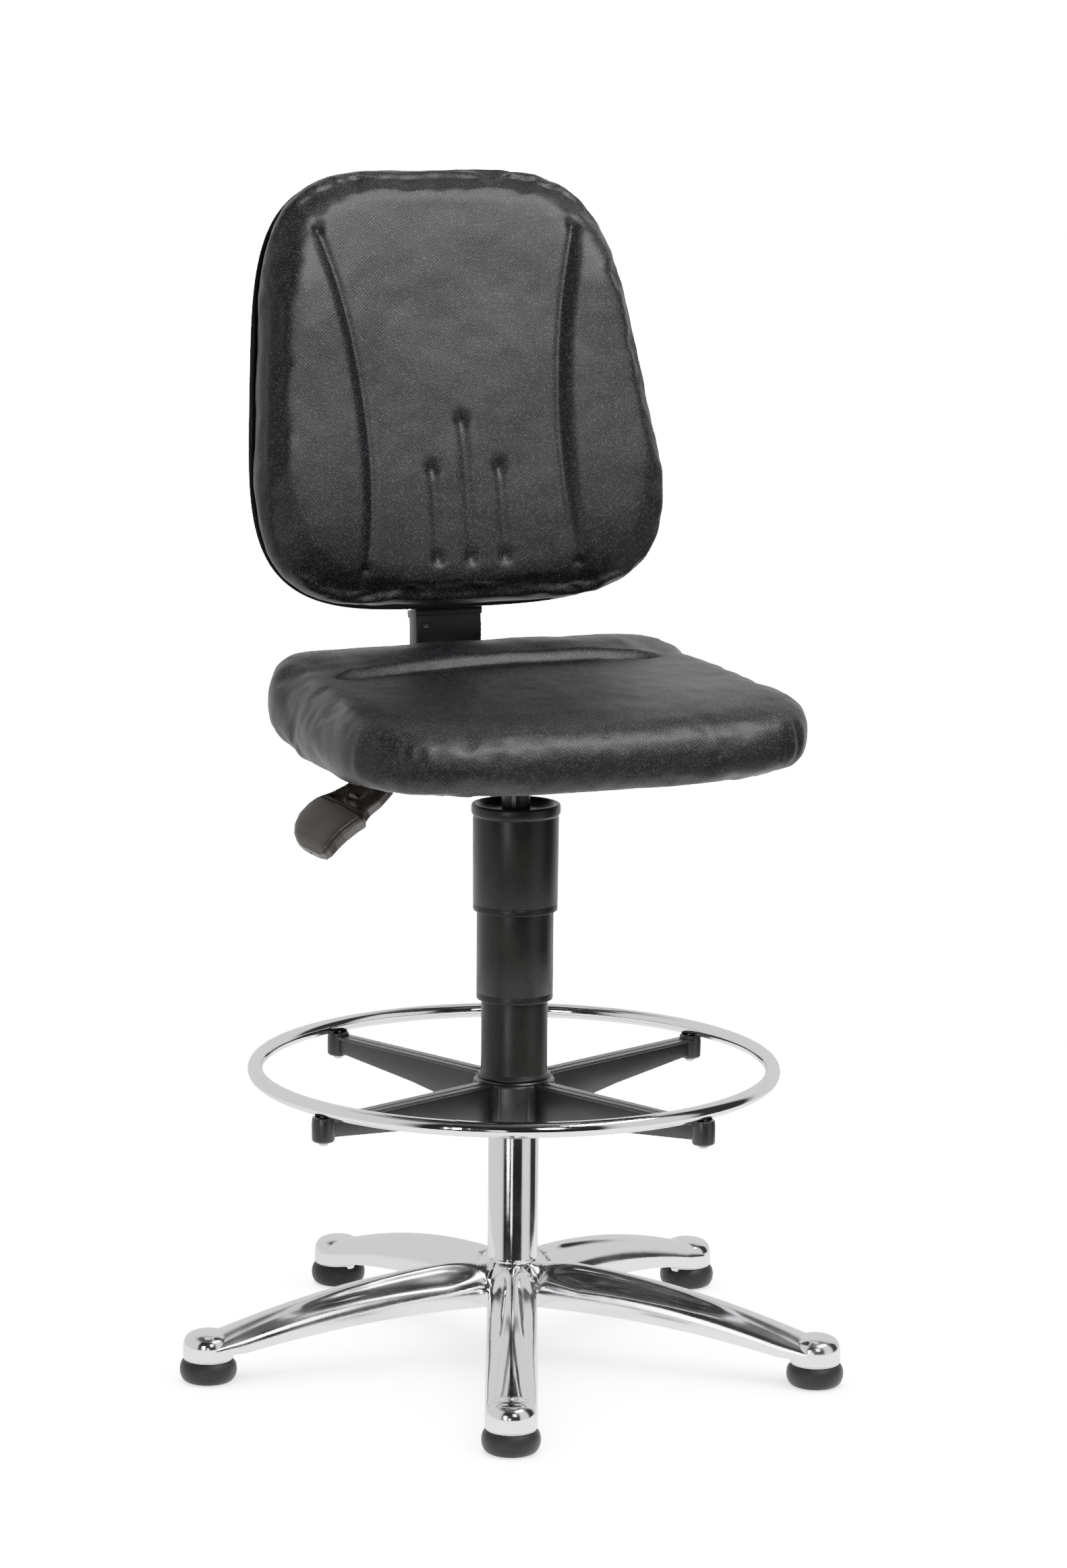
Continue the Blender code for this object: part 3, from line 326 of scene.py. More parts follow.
def arm_skin(u, v):
    """One fifth of the casting: u runs over the arm from flank to flank, v from hub to tip."""
    side = 2 * u - 1
    across = min(abs(side) / 0.74, 1.0)
    drop = max(abs(side) - 0.74, 0.0) / 0.26
    sign = -1.0 if side < 0 else 1.0
    hub_share = min(v / 0.16, 1.0)
    r = CROTCH if v <= 0.16 else CROTCH + (v - 0.16) / 0.84 * (GLIDE_CIRCLE + ARM_HALF - CROTCH)
    if v <= 0.16:
        ring = RIM + (CROTCH - RIM) * hub_share
        turn = sign * across * math.pi / BASE_ARMS
        x, y = ring * math.cos(turn), ring * math.sin(turn)
        edge = arm_foot(0.06) + 0.50 * (HUB_TOP - arm_foot(0.06))
        crown = HUB_TOP - 0.0022 * math.sin(math.pi * hub_share)
        saddle = HUB_TOP + (edge - HUB_TOP) * smooth_step(0.08, 1.0, hub_share)
        arch = math.cos(across * math.pi / 2) ** 0.85
        z = saddle + (crown - saddle) * arch
        foot = HUB_TOP + (arm_foot(0.06) - HUB_TOP) * hub_share
        z = z + (foot - z) * drop if drop else z
        return Vector((x, y, z))
    beyond = max(r - GLIDE_CIRCLE, 0.0)
    half = ARM_HALF * math.sqrt(max(1 - (beyond / ARM_HALF) ** 2, 0.0)) if beyond else ARM_HALF
    blend = smooth_step(CROTCH, 0.062, r)
    straight = r
    curved = CROTCH * math.cos(across * math.pi / BASE_ARMS)
    x = curved + (straight - CROTCH) + (CROTCH - curved) * blend
    y = sign * across * half
    if r < 0.062:
        y = sign * (CROTCH * math.sin(across * math.pi / BASE_ARMS) * (1 - blend)
                    + across * half * blend)
    ridge, foot = arm_ridge(r), arm_foot(r)
    if beyond:
        round_off = math.sqrt(max(1 - (beyond / ARM_HALF) ** 2, 0))
        ridge = foot + (ridge - foot) * (0.45 + 0.55 * round_off)
    edge = foot + 0.46 * (ridge - foot)
    arch = math.cos(across * math.pi / 2) ** 0.72
    z = edge + (ridge - edge) * arch
    reach = (r - 0.050) / 0.168
    scoop = math.sqrt(min(max(reach, 0.0) * 7.0, 1.0)) * max(1 - reach, 0.0) ** 0.75
    half_scoop = 0.06 + 0.30 * scoop
    lens = 1 - smooth_step(half_scoop * 0.70, half_scoop, abs(across - 0.56))
    depth = 0.0034 * scoop ** 0.5 * lens if scoop > 0 else 0.0
    z -= depth
    y -= sign * depth * 0.9
    z += (foot - z) * drop
    return Vector((x, y, z))


def set_down(point, turn):
    cos, sin = math.cos(turn), math.sin(turn)
    return AXIS + Vector((point.x * cos - point.y * sin, point.x * sin + point.y * cos, point.z))


arms = []
for count in range(BASE_ARMS):
    turn = FRONT_ARM + math.tau * count / BASE_ARMS
    arms.append(shaped_grid("arm", 44, 120, lambda u, v: set_down(arm_skin(u, v), turn)))
star = joined("base_star_polished", arms)
bpy.ops.object.mode_set(mode="EDIT")
bpy.ops.mesh.select_all(action="SELECT")
bpy.ops.mesh.remove_doubles(threshold=4e-4)
bpy.ops.mesh.select_all(action="SELECT")
bpy.ops.mesh.normals_make_consistent(inside=False)
bpy.ops.object.mode_set(mode="OBJECT")
ease = star.modifiers.new("cast fillets", "SMOOTH")
ease.factor, ease.iterations = 0.5, 16
wall = star.modifiers.new("casting wall", "SOLIDIFY")
wall.thickness, wall.offset = CASTING_WALL, -1.0
apply_all(star)
bosses = [star]
for count in range(BASE_ARMS):
    turn = FRONT_ARM + math.tau * count / BASE_ARMS
    spot = set_down(Vector((GLIDE_CIRCLE, 0, 0)), turn)
    bosses.append(spun("boss", [
        (0.0, 0.0110), (0.0232, 0.0110), (0.0240, 0.0118), (0.0240, 0.0235), (0.0247, 0.0243),
        (0.0247, 0.0360), (0.0240, 0.0405), (0.0222, 0.0443), (0.0192, 0.0472), (0.0150, 0.0491),
        (0.0100, 0.0501), (0.0050, 0.0505), (0.0, 0.0506), (0.0, 0.0110)], 72, spot))
star = joined("base_star_polished", bosses)
finished(star, "base_star_polished", polished, "base", ["base_star"], 40)

# ---- Glides
# Moulded rubber rings pressed over the bosses, with a rolled outer edge and a small notch where
# a lever goes in to pull them off.
RUBBER = "0c0c0d"
rubber, tree, shader = new_finish("rubber_moulded", Roughness=0.55, IOR=1.52)
shader.inputs["Specular IOR Level"].default_value = 0.22
place = add_node(tree, "ShaderNodeTexCoord").outputs["Object"]
# The mould is blasted: a 0.5 mm grain, drawn at 0.8 mm so that it shows.
grain = add_node(tree, "ShaderNodeTexNoise", {"Vector": place, "Scale": 1250.0, "Detail": 2.0})
dust = add_node(tree, "ShaderNodeTexNoise", {"Vector": place, "Scale": 60.0, "Detail": 5.0})
tone = add_node(tree, "ShaderNodeMix", {
    "Factor": dust.outputs["Fac"], "A": linear(RUBBER), "B": linear("19191b")}, data_type="RGBA")
tree.links.new(tone.outputs["Result"], shader.inputs["Base Color"])
tree.links.new(add_node(tree, "ShaderNodeBump", {
    "Height": grain.outputs["Fac"], "Strength": 0.35, "Distance": 0.0002}).outputs["Normal"],
    shader.inputs["Normal"])

for count in range(BASE_ARMS):
    turn = FRONT_ARM + math.tau * count / BASE_ARMS
    spot = set_down(Vector((GLIDE_CIRCLE, 0, 0)), turn)
    roll = [(0.0205 + 0.0077 * math.cos(a), 0.0122 + 0.0118 * math.sin(a))
            for a in [math.radians(d) for d in range(-84, 66, 10)]]
    glide = spun("glide", [(0.0, 0.0002)] + [(0.0180, 0.0002)] + roll + [
        (0.0243, 0.0232), (0.0243, 0.0104), (0.0, 0.0104), (0.0, 0.0002)], 72, spot, 0.0005)
    notch_way = (AXIS - spot).normalized()
    for vertex in glide.data.vertices:
        out = Vector((vertex.co.x - spot.x, vertex.co.y - spot.y, 0))
        near = out.length and out.normalized().dot(notch_way) > 0.985
        if near and vertex.co.z > 0.0190 and out.length > 0.0240:
            vertex.co.z -= 0.0030
    finished(glide, f"glide_ring_{count + 1}", rubber, "base",
             [f"glide_{count + 1}"], 40)


# ---- Column tube
# Steel tube, ground, nickelled and chromed, pressed into the hub, with a turned seating ring
# where it enters.
COLUMN_R = 0.025
CHROME = "dddee0"
chrome, tree, shader = new_finish("steel_tube_chrome_plated", Metallic=1.0, Roughness=0.06)
shader.inputs["Base Color"].default_value = linear(CHROME)
place = add_node(tree, "ShaderNodeTexCoord").outputs["Object"]
# Plating is mirror smooth, apart from a faint draw mark every few millimetres and finger haze.
haze = add_node(tree, "ShaderNodeTexNoise", {"Vector": place, "Scale": 22.0, "Detail": 5.0})
dull = add_node(tree, "ShaderNodeMapRange", {
    "Value": haze.outputs["Fac"], "From Min": 0.35, "From Max": 0.75,
    "To Min": 0.04, "To Max": 0.13})
tree.links.new(dull.outputs["Result"], shader.inputs["Roughness"])
draw = add_node(tree, "ShaderNodeTexNoise", {"Vector": place, "Scale": 180.0, "Detail": 1.0})
tree.links.new(add_node(tree, "ShaderNodeBump", {
    "Height": draw.outputs["Fac"], "Strength": 0.04, "Distance": 0.0002}).outputs["Normal"],
    shader.inputs["Normal"])
low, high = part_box("column_tube")
tube = spun("tube", [
    (0.0225, low.z + 0.003), (COLUMN_R, low.z), (COLUMN_R, HUB_TOP - 0.0012),
    (COLUMN_R + 0.0016, HUB_TOP - 0.0004), (COLUMN_R + 0.0016, HUB_TOP + 0.0012),
    (COLUMN_R, HUB_TOP + 0.0020), (COLUMN_R, high.z), (0.0225, high.z), (0.0225, low.z + 0.003)],
    128, AXIS, 0.0003)
finished(tube, "column_tube_chromed", chrome, "base", ["column_tube"])


# ---- Foot ring
# A chromed steel tube bent to a circle and welded, held by four screws on a moulded nylon spider
# that clamps the column. The spider's arms are T sections under a thin, glossy top flange.
RING_R = 0.2552
TUBE_R = 0.0075
RING_Z = 0.2936
FIRST_ARM = math.radians(-158.5)


def ring_skin(u, v):
    around, across = u * math.tau, v * math.tau
    bead = 0.0004 * math.exp(-((around - 4.1) / 0.006) ** 2)
    r = RING_R + (TUBE_R + bead) * math.cos(across)
    return AXIS + Vector((r * math.cos(around), r * math.sin(around),
                          RING_Z + (TUBE_R + bead) * math.sin(across)))


ring = shaped_grid("ring", 288, 24, ring_skin)
finished(ring, "foot_ring_chromed", chrome, "foot_ring", ["footring_tube"], 60)

nylon, tree, shader = new_finish("nylon_glass_filled_moulded", Roughness=0.30, IOR=1.53)
shader.inputs["Specular IOR Level"].default_value = 0.32
place = add_node(tree, "ShaderNodeTexCoord").outputs["Object"]
# Glass fill gives the moulding a faint mottle; the skin is nearly glossy.
mottle = add_node(tree, "ShaderNodeTexNoise", {"Vector": place, "Scale": 300.0, "Detail": 3.0})
tone = add_node(tree, "ShaderNodeMix", {
    "Factor": mottle.outputs["Fac"], "A": linear("0e0e0f"), "B": linear("181819")},
    data_type="RGBA")
tree.links.new(tone.outputs["Result"], shader.inputs["Base Color"])
gloss = add_node(tree, "ShaderNodeMapRange", {
    "Value": mottle.outputs["Fac"], "From Min": 0.3, "From Max": 0.7,
    "To Min": 0.34, "To Max": 0.38})
tree.links.new(gloss.outputs["Result"], shader.inputs["Roughness"])
tree.links.new(add_node(tree, "ShaderNodeBump", {
    "Height": mottle.outputs["Fac"], "Strength": 0.02, "Distance": 0.00005}).outputs["Normal"],
    shader.inputs["Normal"])


def drawn_cube(sections):
    """A unit cube with its +x face extruded until it has this many cross sections, 1 m apart."""
    bpy.ops.object.select_all(action="DESELECT")
    bpy.ops.mesh.primitive_cube_add(size=1.0)
    piece = bpy.context.object
    bpy.ops.object.mode_set(mode="EDIT")
    bpy.ops.mesh.select_all(action="DESELECT")
    bpy.ops.object.mode_set(mode="OBJECT")
    for face in piece.data.polygons:
        face.select = face.normal.x > 0.9
    bpy.ops.object.mode_set(mode="EDIT")
    bpy.ops.mesh.select_mode(type="FACE")
    for _ in range(sections - 2):
        bpy.ops.mesh.extrude_region_move(TRANSFORM_OT_translate={"value": (1, 0, 0)})
    bpy.ops.mesh.select_all(action="SELECT")
    bpy.ops.mesh.normals_make_consistent(inside=False)
    bpy.ops.object.mode_set(mode="OBJECT")
    return piece


def radial_bar(turn, sections, bevel):
    """A cube drawn out along an arm: sections are (radius, half width, foot, top)."""
    piece = drawn_cube(len(sections))
    for vertex in piece.data.vertices:
        r, half, foot, top = sections[int(round(vertex.co.x + 0.5))]
        point = Vector((r, math.copysign(half, vertex.co.y), top if vertex.co.z > 0 else foot))
        vertex.co = set_down(point, turn)
    rounding = piece.modifiers.new("rounded edges", "BEVEL")
    rounding.width, rounding.segments, rounding.limit_method = bevel, 3, "ANGLE"
    apply_all(piece)
    return piece


spider = [spun("hub", [
    (0.0256, 0.2310), (0.0330, 0.2287), (0.0368, 0.2292), (0.0388, 0.2312), (0.0400, 0.2370),
    (0.0405, 0.2480), (0.0408, 0.2795), (0.0398, 0.2822), (0.0368, 0.2832), (0.0360, 0.2848),
    (0.0290, 0.2848), (0.0282, 0.2832), (0.0256, 0.2832), (0.0256, 0.2310)], 96, AXIS, 0.0004)]
for count in range(4):
    turn = FIRST_ARM + math.pi / 2 * count
    spider.append(radial_bar(turn, [
        (0.036, 0.0078, 0.2402, 0.2815), (0.060, 0.0074, 0.2425, 0.2815),
        (0.140, 0.0070, 0.2545, 0.2815), (0.250, 0.0066, 0.2660, 0.2815)], 0.0012))
    spider.append(radial_bar(turn, [
        (0.034, 0.0100, 0.2806, 0.2834), (0.060, 0.0098, 0.2806, 0.2834),
        (0.256, 0.0094, 0.2806, 0.2834)], 0.0007))
    spider.append(radial_bar(turn, [
        (0.040, 0.0020, 0.2826, 0.2846), (0.060, 0.0020, 0.2826, 0.2840),
        (0.240, 0.0016, 0.2826, 0.2838)], 0.0006))
    for side in (-1, 1):
        spider.append(radial_bar(turn + side * math.radians(24), [
            (0.030, 0.0016, 0.2440, 0.2826), (0.0418, 0.0016, 0.2480, 0.2826)], 0.0006))
    spot = set_down(Vector((RING_R, 0, 0)), turn)
    spider.append(spun("boss", [
        (0.0062, 0.2638), (0.0066, 0.2622), (0.0100, 0.2622), (0.0113, 0.2640), (0.0115, 0.2800),
        (0.0108, 0.2862), (0.0, 0.2862), (0.0, 0.2638), (0.0062, 0.2638)], 40, spot, 0.0005))
spider = joined("foot_ring_spider", spider)
finished(spider, "foot_ring_spider", nylon, "foot_ring", ["footring_spider"])

zinc, tree, shader = new_finish("steel_zinc_plated", Metallic=1.0, Roughness=0.32)
place = add_node(tree, "ShaderNodeTexCoord").outputs["Object"]
# Barrel plating leaves a 1.5 mm spangle, and yellows a little.
spangle = add_node(tree, "ShaderNodeTexVoronoi", {"Vector": place, "Scale": 650.0})
tone = add_node(tree, "ShaderNodeMix", {
    "Factor": spangle.outputs["Distance"], "A": linear("a9aaac"), "B": linear("c8c6bf")},
    data_type="RGBA")
tree.links.new(tone.outputs["Result"], shader.inputs["Base Color"])
dull = add_node(tree, "ShaderNodeMapRange", {
    "Value": spangle.outputs["Distance"], "To Min": 0.25, "To Max": 0.45})
tree.links.new(dull.outputs["Result"], shader.inputs["Roughness"])


def refinish(material, *nodes):
    """CAD pieces whose shape is right keep it and get their real finish."""
    for name in nodes:
        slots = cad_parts[name].material_slots
        for slot in slots:
            slot.material = material


refinish(zinc, "footring_screw_1", "footring_screw_2", "footring_screw_3", "footring_screw_4",
         "footring_clamp_screw")
refinish(nylon, "footring_liner")


# ---- Telescopic column cover
# Three moulded ABS sleeves that slide in one another. The widest hangs under the mechanism and
# ends in a rolled collar with a groove below it.
abs_black, tree, shader = new_finish("abs_moulded_spark_grain", Roughness=0.40, IOR=1.50)
shader.inputs["Specular IOR Level"].default_value = 0.17
place = add_node(tree, "ShaderNodeTexCoord").outputs["Object"]
# The mould is spark eroded: a 0.3 mm pebble, drawn at 0.9 mm so that it shows.
pebble = add_node(tree, "ShaderNodeTexVoronoi", {"Vector": place, "Scale": 1100.0},
                  feature="SMOOTH_F1")
flow = add_node(tree, "ShaderNodeTexNoise", {"Vector": place, "Scale": 25.0, "Detail": 4.0})
tone = add_node(tree, "ShaderNodeMix", {
    "Factor": flow.outputs["Fac"], "A": linear("141414"), "B": linear("232220")},
    data_type="RGBA")
tree.links.new(tone.outputs["Result"], shader.inputs["Base Color"])
dull = add_node(tree, "ShaderNodeMapRange", {
    "Value": flow.outputs["Fac"], "From Min": 0.3, "From Max": 0.7, "To Min": 0.32, "To Max": 0.42})
tree.links.new(dull.outputs["Result"], shader.inputs["Roughness"])
tree.links.new(add_node(tree, "ShaderNodeBump", {
    "Height": pebble.outputs["Distance"], "Strength": 0.30, "Distance": 0.0002}).outputs["Normal"],
    shader.inputs["Normal"])

lower = spun("sleeve", [
    (0.0254, 0.2855), (0.0358, 0.2855), (0.0362, 0.2860), (0.0362, 0.2876), (0.0345, 0.2892),
    (0.0330, 0.2905), (0.0330, 0.3950), (0.0308, 0.3950), (0.0308, 0.2885), (0.0254, 0.2885),
    (0.0254, 0.2855)], 96, AXIS, 0.0003)
finished(lower, "sleeve_lower_moulded", abs_black, "base", ["sleeve_lower"])
middle = spun("sleeve", [
    (0.0345, 0.3630), (0.0366, 0.3630), (0.0378, 0.3636), (0.0380, 0.3650), (0.0380, 0.3690),
    (0.0377, 0.3696), (0.0377, 0.3706), (0.0380, 0.3712), (0.0380, 0.4820), (0.0358, 0.4820),
    (0.0358, 0.3660), (0.0345, 0.3660), (0.0345, 0.3630)], 96, AXIS, 0.0003)
finished(middle, "sleeve_middle_moulded", abs_black, "middle_sleeve",
         ["sleeve_middle"])
upper = spun("sleeve", [
    (0.0390, 0.4520), (0.0408, 0.4520), (0.0416, 0.4524), (0.0419, 0.4534), (0.0419, 0.4580),
    (0.0416, 0.4586), (0.0416, 0.4594), (0.0419, 0.4600), (0.0425, 0.5440), (0.0422, 0.5452),
    (0.0422, 0.5466), (0.0432, 0.5476), (0.0440, 0.5492), (0.0442, 0.5530), (0.0440, 0.5562),
    (0.0430, 0.5578), (0.0418, 0.5582), (0.0392, 0.5580), (0.0372, 0.5566), (0.0352, 0.5536),
    (0.0290, 0.5508), (0.0146, 0.5505), (0.0146, 0.5480), (0.0400, 0.5480), (0.0390, 0.4520)],
    96, AXIS, 0.0002)
finished(upper, "sleeve_upper_moulded", abs_black, "lift", ["sleeve_upper"], 40)


# ---- Gas spring and the parts inside the column
# The spring's steel cylinder is painted black; its rod is ground and chromed, and the bearing,
# washer, clip and piston are zinc-plated or bare turned steel.
paint, tree, shader = new_finish("steel_epoxy_powder_coated", Roughness=0.38, IOR=1.5)
place = add_node(tree, "ShaderNodeTexCoord").outputs["Object"]
# Powder coat flows out to an orange peel about 2 mm across.
peel = add_node(tree, "ShaderNodeTexNoise", {"Vector": place, "Scale": 500.0, "Detail": 1.0})
soot = add_node(tree, "ShaderNodeTexNoise", {"Vector": place, "Scale": 35.0, "Detail": 4.0})
tone = add_node(tree, "ShaderNodeMix", {
    "Factor": soot.outputs["Fac"], "A": linear("161617"), "B": linear("262627")},
    data_type="RGBA")
tree.links.new(tone.outputs["Result"], shader.inputs["Base Color"])
tree.links.new(add_node(tree, "ShaderNodeBump", {
    "Height": peel.outputs["Fac"], "Strength": 0.30, "Distance": 0.0003}).outputs["Normal"],
    shader.inputs["Normal"])
refinish(paint, "gas_cylinder", "cone_socket", "mechanism_housing", "seat_plate", "back_bar")
refinish(chrome, "piston_rod")
refinish(zinc, "bearing_lower_race", "bearing_cage", "bearing_upper_race", "retaining_washer",
         "retaining_clip", "piston", "release_pin", "tilt_pin", "recline_pin", "recline_spring",
         "lever_bracket", "lever_pin", "lever_rod", "seat_screw_1", "seat_screw_2",
         "seat_screw_3", "seat_screw_4", "back_screw_1", "back_screw_2", "back_screw_3",
         "back_screw_4", "height_rack", "height_pawl")
refinish(rubber, "rod_seal", "sleeve_retaining_ring")
refinish(abs_black, "column_guide_bush", "bar_end_cap", "back_carrier", "back_bar_cover",
         "seat_shell", "back_shell")


# ---- Lever grip
# Two ABS mouldings clipped round the end of the steel lever, with a parting line between them, a
# neck that is an open ribbed channel and a raised pad where the thumb goes.
LEVER_ROOT = AXIS + Vector((-0.1714, -0.0520, 0.5921))
LEVER_WAY = Vector((-0.764, -0.184, -0.619)).normalized()
LEVER_ACROSS = (Vector((0.600, -0.800, 0.0))
                - LEVER_WAY * Vector((0.600, -0.800, 0.0)).dot(LEVER_WAY)).normalized()
LEVER_FACE = LEVER_WAY.cross(LEVER_ACROSS).normalized()
# Distance along, reach to the left and to the right of the middle line, half thickness.
GRIP_STATIONS = ((-0.0060, 0.0215, 0.0215, 0.0070), (0.0120, 0.0250, 0.0220, 0.0074),
                 (0.0260, 0.0325, 0.0190, 0.0080), (0.0330, 0.0385, 0.0200, 0.0084),
                 (0.0380, 0.0415, 0.0245, 0.0086), (0.0460, 0.0440, 0.0215, 0.0086),
                 (0.0600, 0.0440, 0.0185, 0.0085), (0.0720, 0.0390, 0.0180, 0.0082),
                 (0.0810, 0.0315, 0.0190, 0.0074), (0.0870, 0.0220, 0.0180, 0.0060),
                 (0.0895, 0.0120, 0.0120, 0.0040), (0.0900, 0.0010, 0.0010, 0.0010))

grip_abs, tree, shader = new_finish("abs_moulded_fine_matt", Roughness=0.42, IOR=1.54)
place = add_node(tree, "ShaderNodeTexCoord").outputs["Object"]
# Brown-black moulding with a 0.6 mm matt grain.
grain = add_node(tree, "ShaderNodeTexNoise", {"Vector": place, "Scale": 1600.0, "Detail": 2.0})
rub = add_node(tree, "ShaderNodeTexNoise", {"Vector": place, "Scale": 45.0, "Detail": 4.0})
tone = add_node(tree, "ShaderNodeMix", {
    "Factor": rub.outputs["Fac"], "A": linear("211d1a"), "B": linear("3a342e")},
    data_type="RGBA")
tree.links.new(tone.outputs["Result"], shader.inputs["Base Color"])
tree.links.new(add_node(tree, "ShaderNodeBump", {
    "Height": grain.outputs["Fac"], "Strength": 0.25, "Distance": 0.0002}).outputs["Normal"],
    shader.inputs["Normal"])


def grip_skin(u, v):
    along, left, right, thick = between(GRIP_STATIONS, v)
    angle = u * math.tau
    cos, sin = math.cos(angle), math.sin(angle)
    w = math.copysign(abs(cos) ** 0.42, cos) * (right if cos > 0 else left)
    t = math.copysign(abs(sin) ** 0.42, sin) * thick
    w *= 1 - 0.030 * math.exp(-((t - 0.0016) / 0.0006) ** 2)
    if t > 0:
        # The thumb pad stands 1.3 mm proud from the shoulder to the end, with a stepped edge.
        pad = float(smooth_step(0.0350, 0.0364, along))
        pad *= float(1 - smooth_step(0.0850, 0.0875, along))
        inset = min(w + left - 0.0035, right - 0.0035 - w)
        t += 0.0013 * pad * float(smooth_step(0.0, 0.0012, inset))
        # The neck is an open channel with two ribs and a round boss in it.
        neck = float(1 - smooth_step(0.0290, 0.0310, along))
        neck *= float(smooth_step(-0.005, -0.003, along))
        inside = float(smooth_step(0.0, 0.0012, min(w + left - 0.0042, right - 0.0042 - w)))
        ribs = max(math.exp(-((w + 0.0030 + 0.10 * along) / 0.0011) ** 2),
                   math.exp(-((w - 0.0060 + 0.25 * along) / 0.0010) ** 2))
        boss = math.hypot(along - 0.0215, w + 0.0085)
        ring = math.exp(-((boss - 0.0042) / 0.0009) ** 2)
        t -= 0.0058 * neck * inside * (1 - 0.85 * max(ribs, ring))
        button = math.hypot((along - 0.0345) / 0.0034, (w + 0.0120) / 0.0052)
        groove = 0.0006 * float(smooth_step(0.80, 0.95, button))
        t -= groove * float(1 - smooth_step(1.0, 1.15, button))
    return LEVER_ROOT + LEVER_WAY * along + LEVER_ACROSS * w + LEVER_FACE * t


grip = shaped_grid("grip", 160, 150, grip_skin)
soften = grip.modifiers.new("moulded edges", "SMOOTH")
soften.factor, soften.iterations = 0.5, 2
apply_all(grip)
finished(grip, "lever_grip_moulded", grip_abs, "lever",
         ["lever_grip_upper", "lever_grip_lower"], 50)


# ---- Seat cushion
# Moulded foam on a shell, covered in a charcoal twill that is pulled over the edge and stapled
# underneath. A crease is sewn across in front of a raised rear lip, and the front rolls down.
SEAT_TILT = math.radians(2.6)
SEAT_BASE = 0.6155
THREAD_DARK, THREAD_MID, THREAD_LIGHT = "060607", "0e0e10", "36373b"
SKIN_VOXEL = 0.0045
FOAM_PRESSURE = 4.0
FOAM_FRAMES = 20
FOAM_CAP = 0.0045
COVER_SLACK = 0.012
SEAT_START_OUT = 0.0005

twill, tree, shader = new_finish("polyester_twill_woven", Roughness=0.46, IOR=1.5)
shader.inputs["Sheen Weight"].default_value = 0.0
shader.inputs["Specular IOR Level"].default_value = 0.22
shader.inputs["Sheen Roughness"].default_value = 0.45
shader.inputs["Sheen Tint"].default_value = linear("c9ccd4")
place = add_node(tree, "ShaderNodeTexCoord").outputs["Object"]
crossed = add_node(tree, "ShaderNodeMapping", {"Vector": place, "Scale": (1, -1, -1)})
# Twill ribs lie 1 mm apart; they are drawn 2.2 mm apart so that they show.
RIB = math.tau / (10 * 0.0022 * math.sqrt(2))
ribs = add_node(tree, "ShaderNodeTexWave", {
    "Vector": place, "Scale": RIB, "Distortion": 1.2, "Detail": 2.0, "Detail Scale": 1.5},
    bands_direction="DIAGONAL")
threads = add_node(tree, "ShaderNodeTexWave", {
    "Vector": crossed.outputs["Vector"], "Scale": RIB * 0.8, "Distortion": 2.0, "Detail": 2.0},
    bands_direction="DIAGONAL")
weave = add_node(tree, "ShaderNodeMath", {0: ribs.outputs["Fac"], 1: threads.outputs["Fac"]},
                 operation="MULTIPLY")
flecks = add_node(tree, "ShaderNodeTexVoronoi", {"Vector": place, "Scale": 950.0})
bright = add_node(tree, "ShaderNodeSeparateColor", {"Color": flecks.outputs["Color"]})
fleck = add_node(tree, "ShaderNodeMapRange", {
    "Value": bright.outputs["Red"], "From Min": 0.66, "From Max": 1.0, "To Max": 0.60})
cloud = add_node(tree, "ShaderNodeTexNoise", {"Vector": place, "Scale": 9.0, "Detail": 3.0})
base = add_node(tree, "ShaderNodeMix", {
    "Factor": weave.outputs["Value"], "A": linear(THREAD_DARK), "B": linear(THREAD_MID)},
    data_type="RGBA")
heather = add_node(tree, "ShaderNodeMix", {
    "Factor": fleck.outputs["Result"], "A": base.outputs["Result"], "B": linear(THREAD_LIGHT)},
    data_type="RGBA")
shade = add_node(tree, "ShaderNodeMapRange", {
    "Value": cloud.outputs["Fac"], "From Min": 0.3, "From Max": 0.7,
    "To Min": 0.92, "To Max": 1.06})
toned = add_node(tree, "ShaderNodeVectorMath", {
    0: heather.outputs["Result"], "Scale": shade.outputs["Result"]}, operation="SCALE")
tree.links.new(toned.outputs["Vector"], shader.inputs["Base Color"])
nap = add_node(tree, "ShaderNodeMath", {0: weave.outputs["Value"], 1: bright.outputs["Red"]},
               operation="ADD")
tree.links.new(add_node(tree, "ShaderNodeBump", {
    "Height": nap.outputs["Value"], "Strength": 0.35, "Distance": 0.0003}).outputs["Normal"],
    shader.inputs["Normal"])


def points_of(piece):
    flat = np.empty(3 * len(piece.data.vertices), np.float32)
    piece.data.vertices.foreach_get("co", flat)
    return flat.reshape(-1, 3).astype(np.float64)


def normals_of(piece):
    flat = np.empty(3 * len(piece.data.vertices), np.float32)
    piece.data.vertices.foreach_get("normal", flat)
    return flat.reshape(-1, 3).astype(np.float64)


def put_points(piece, points):
    piece.data.vertices.foreach_set("co", points.astype(np.float32).ravel())
    piece.data.update()


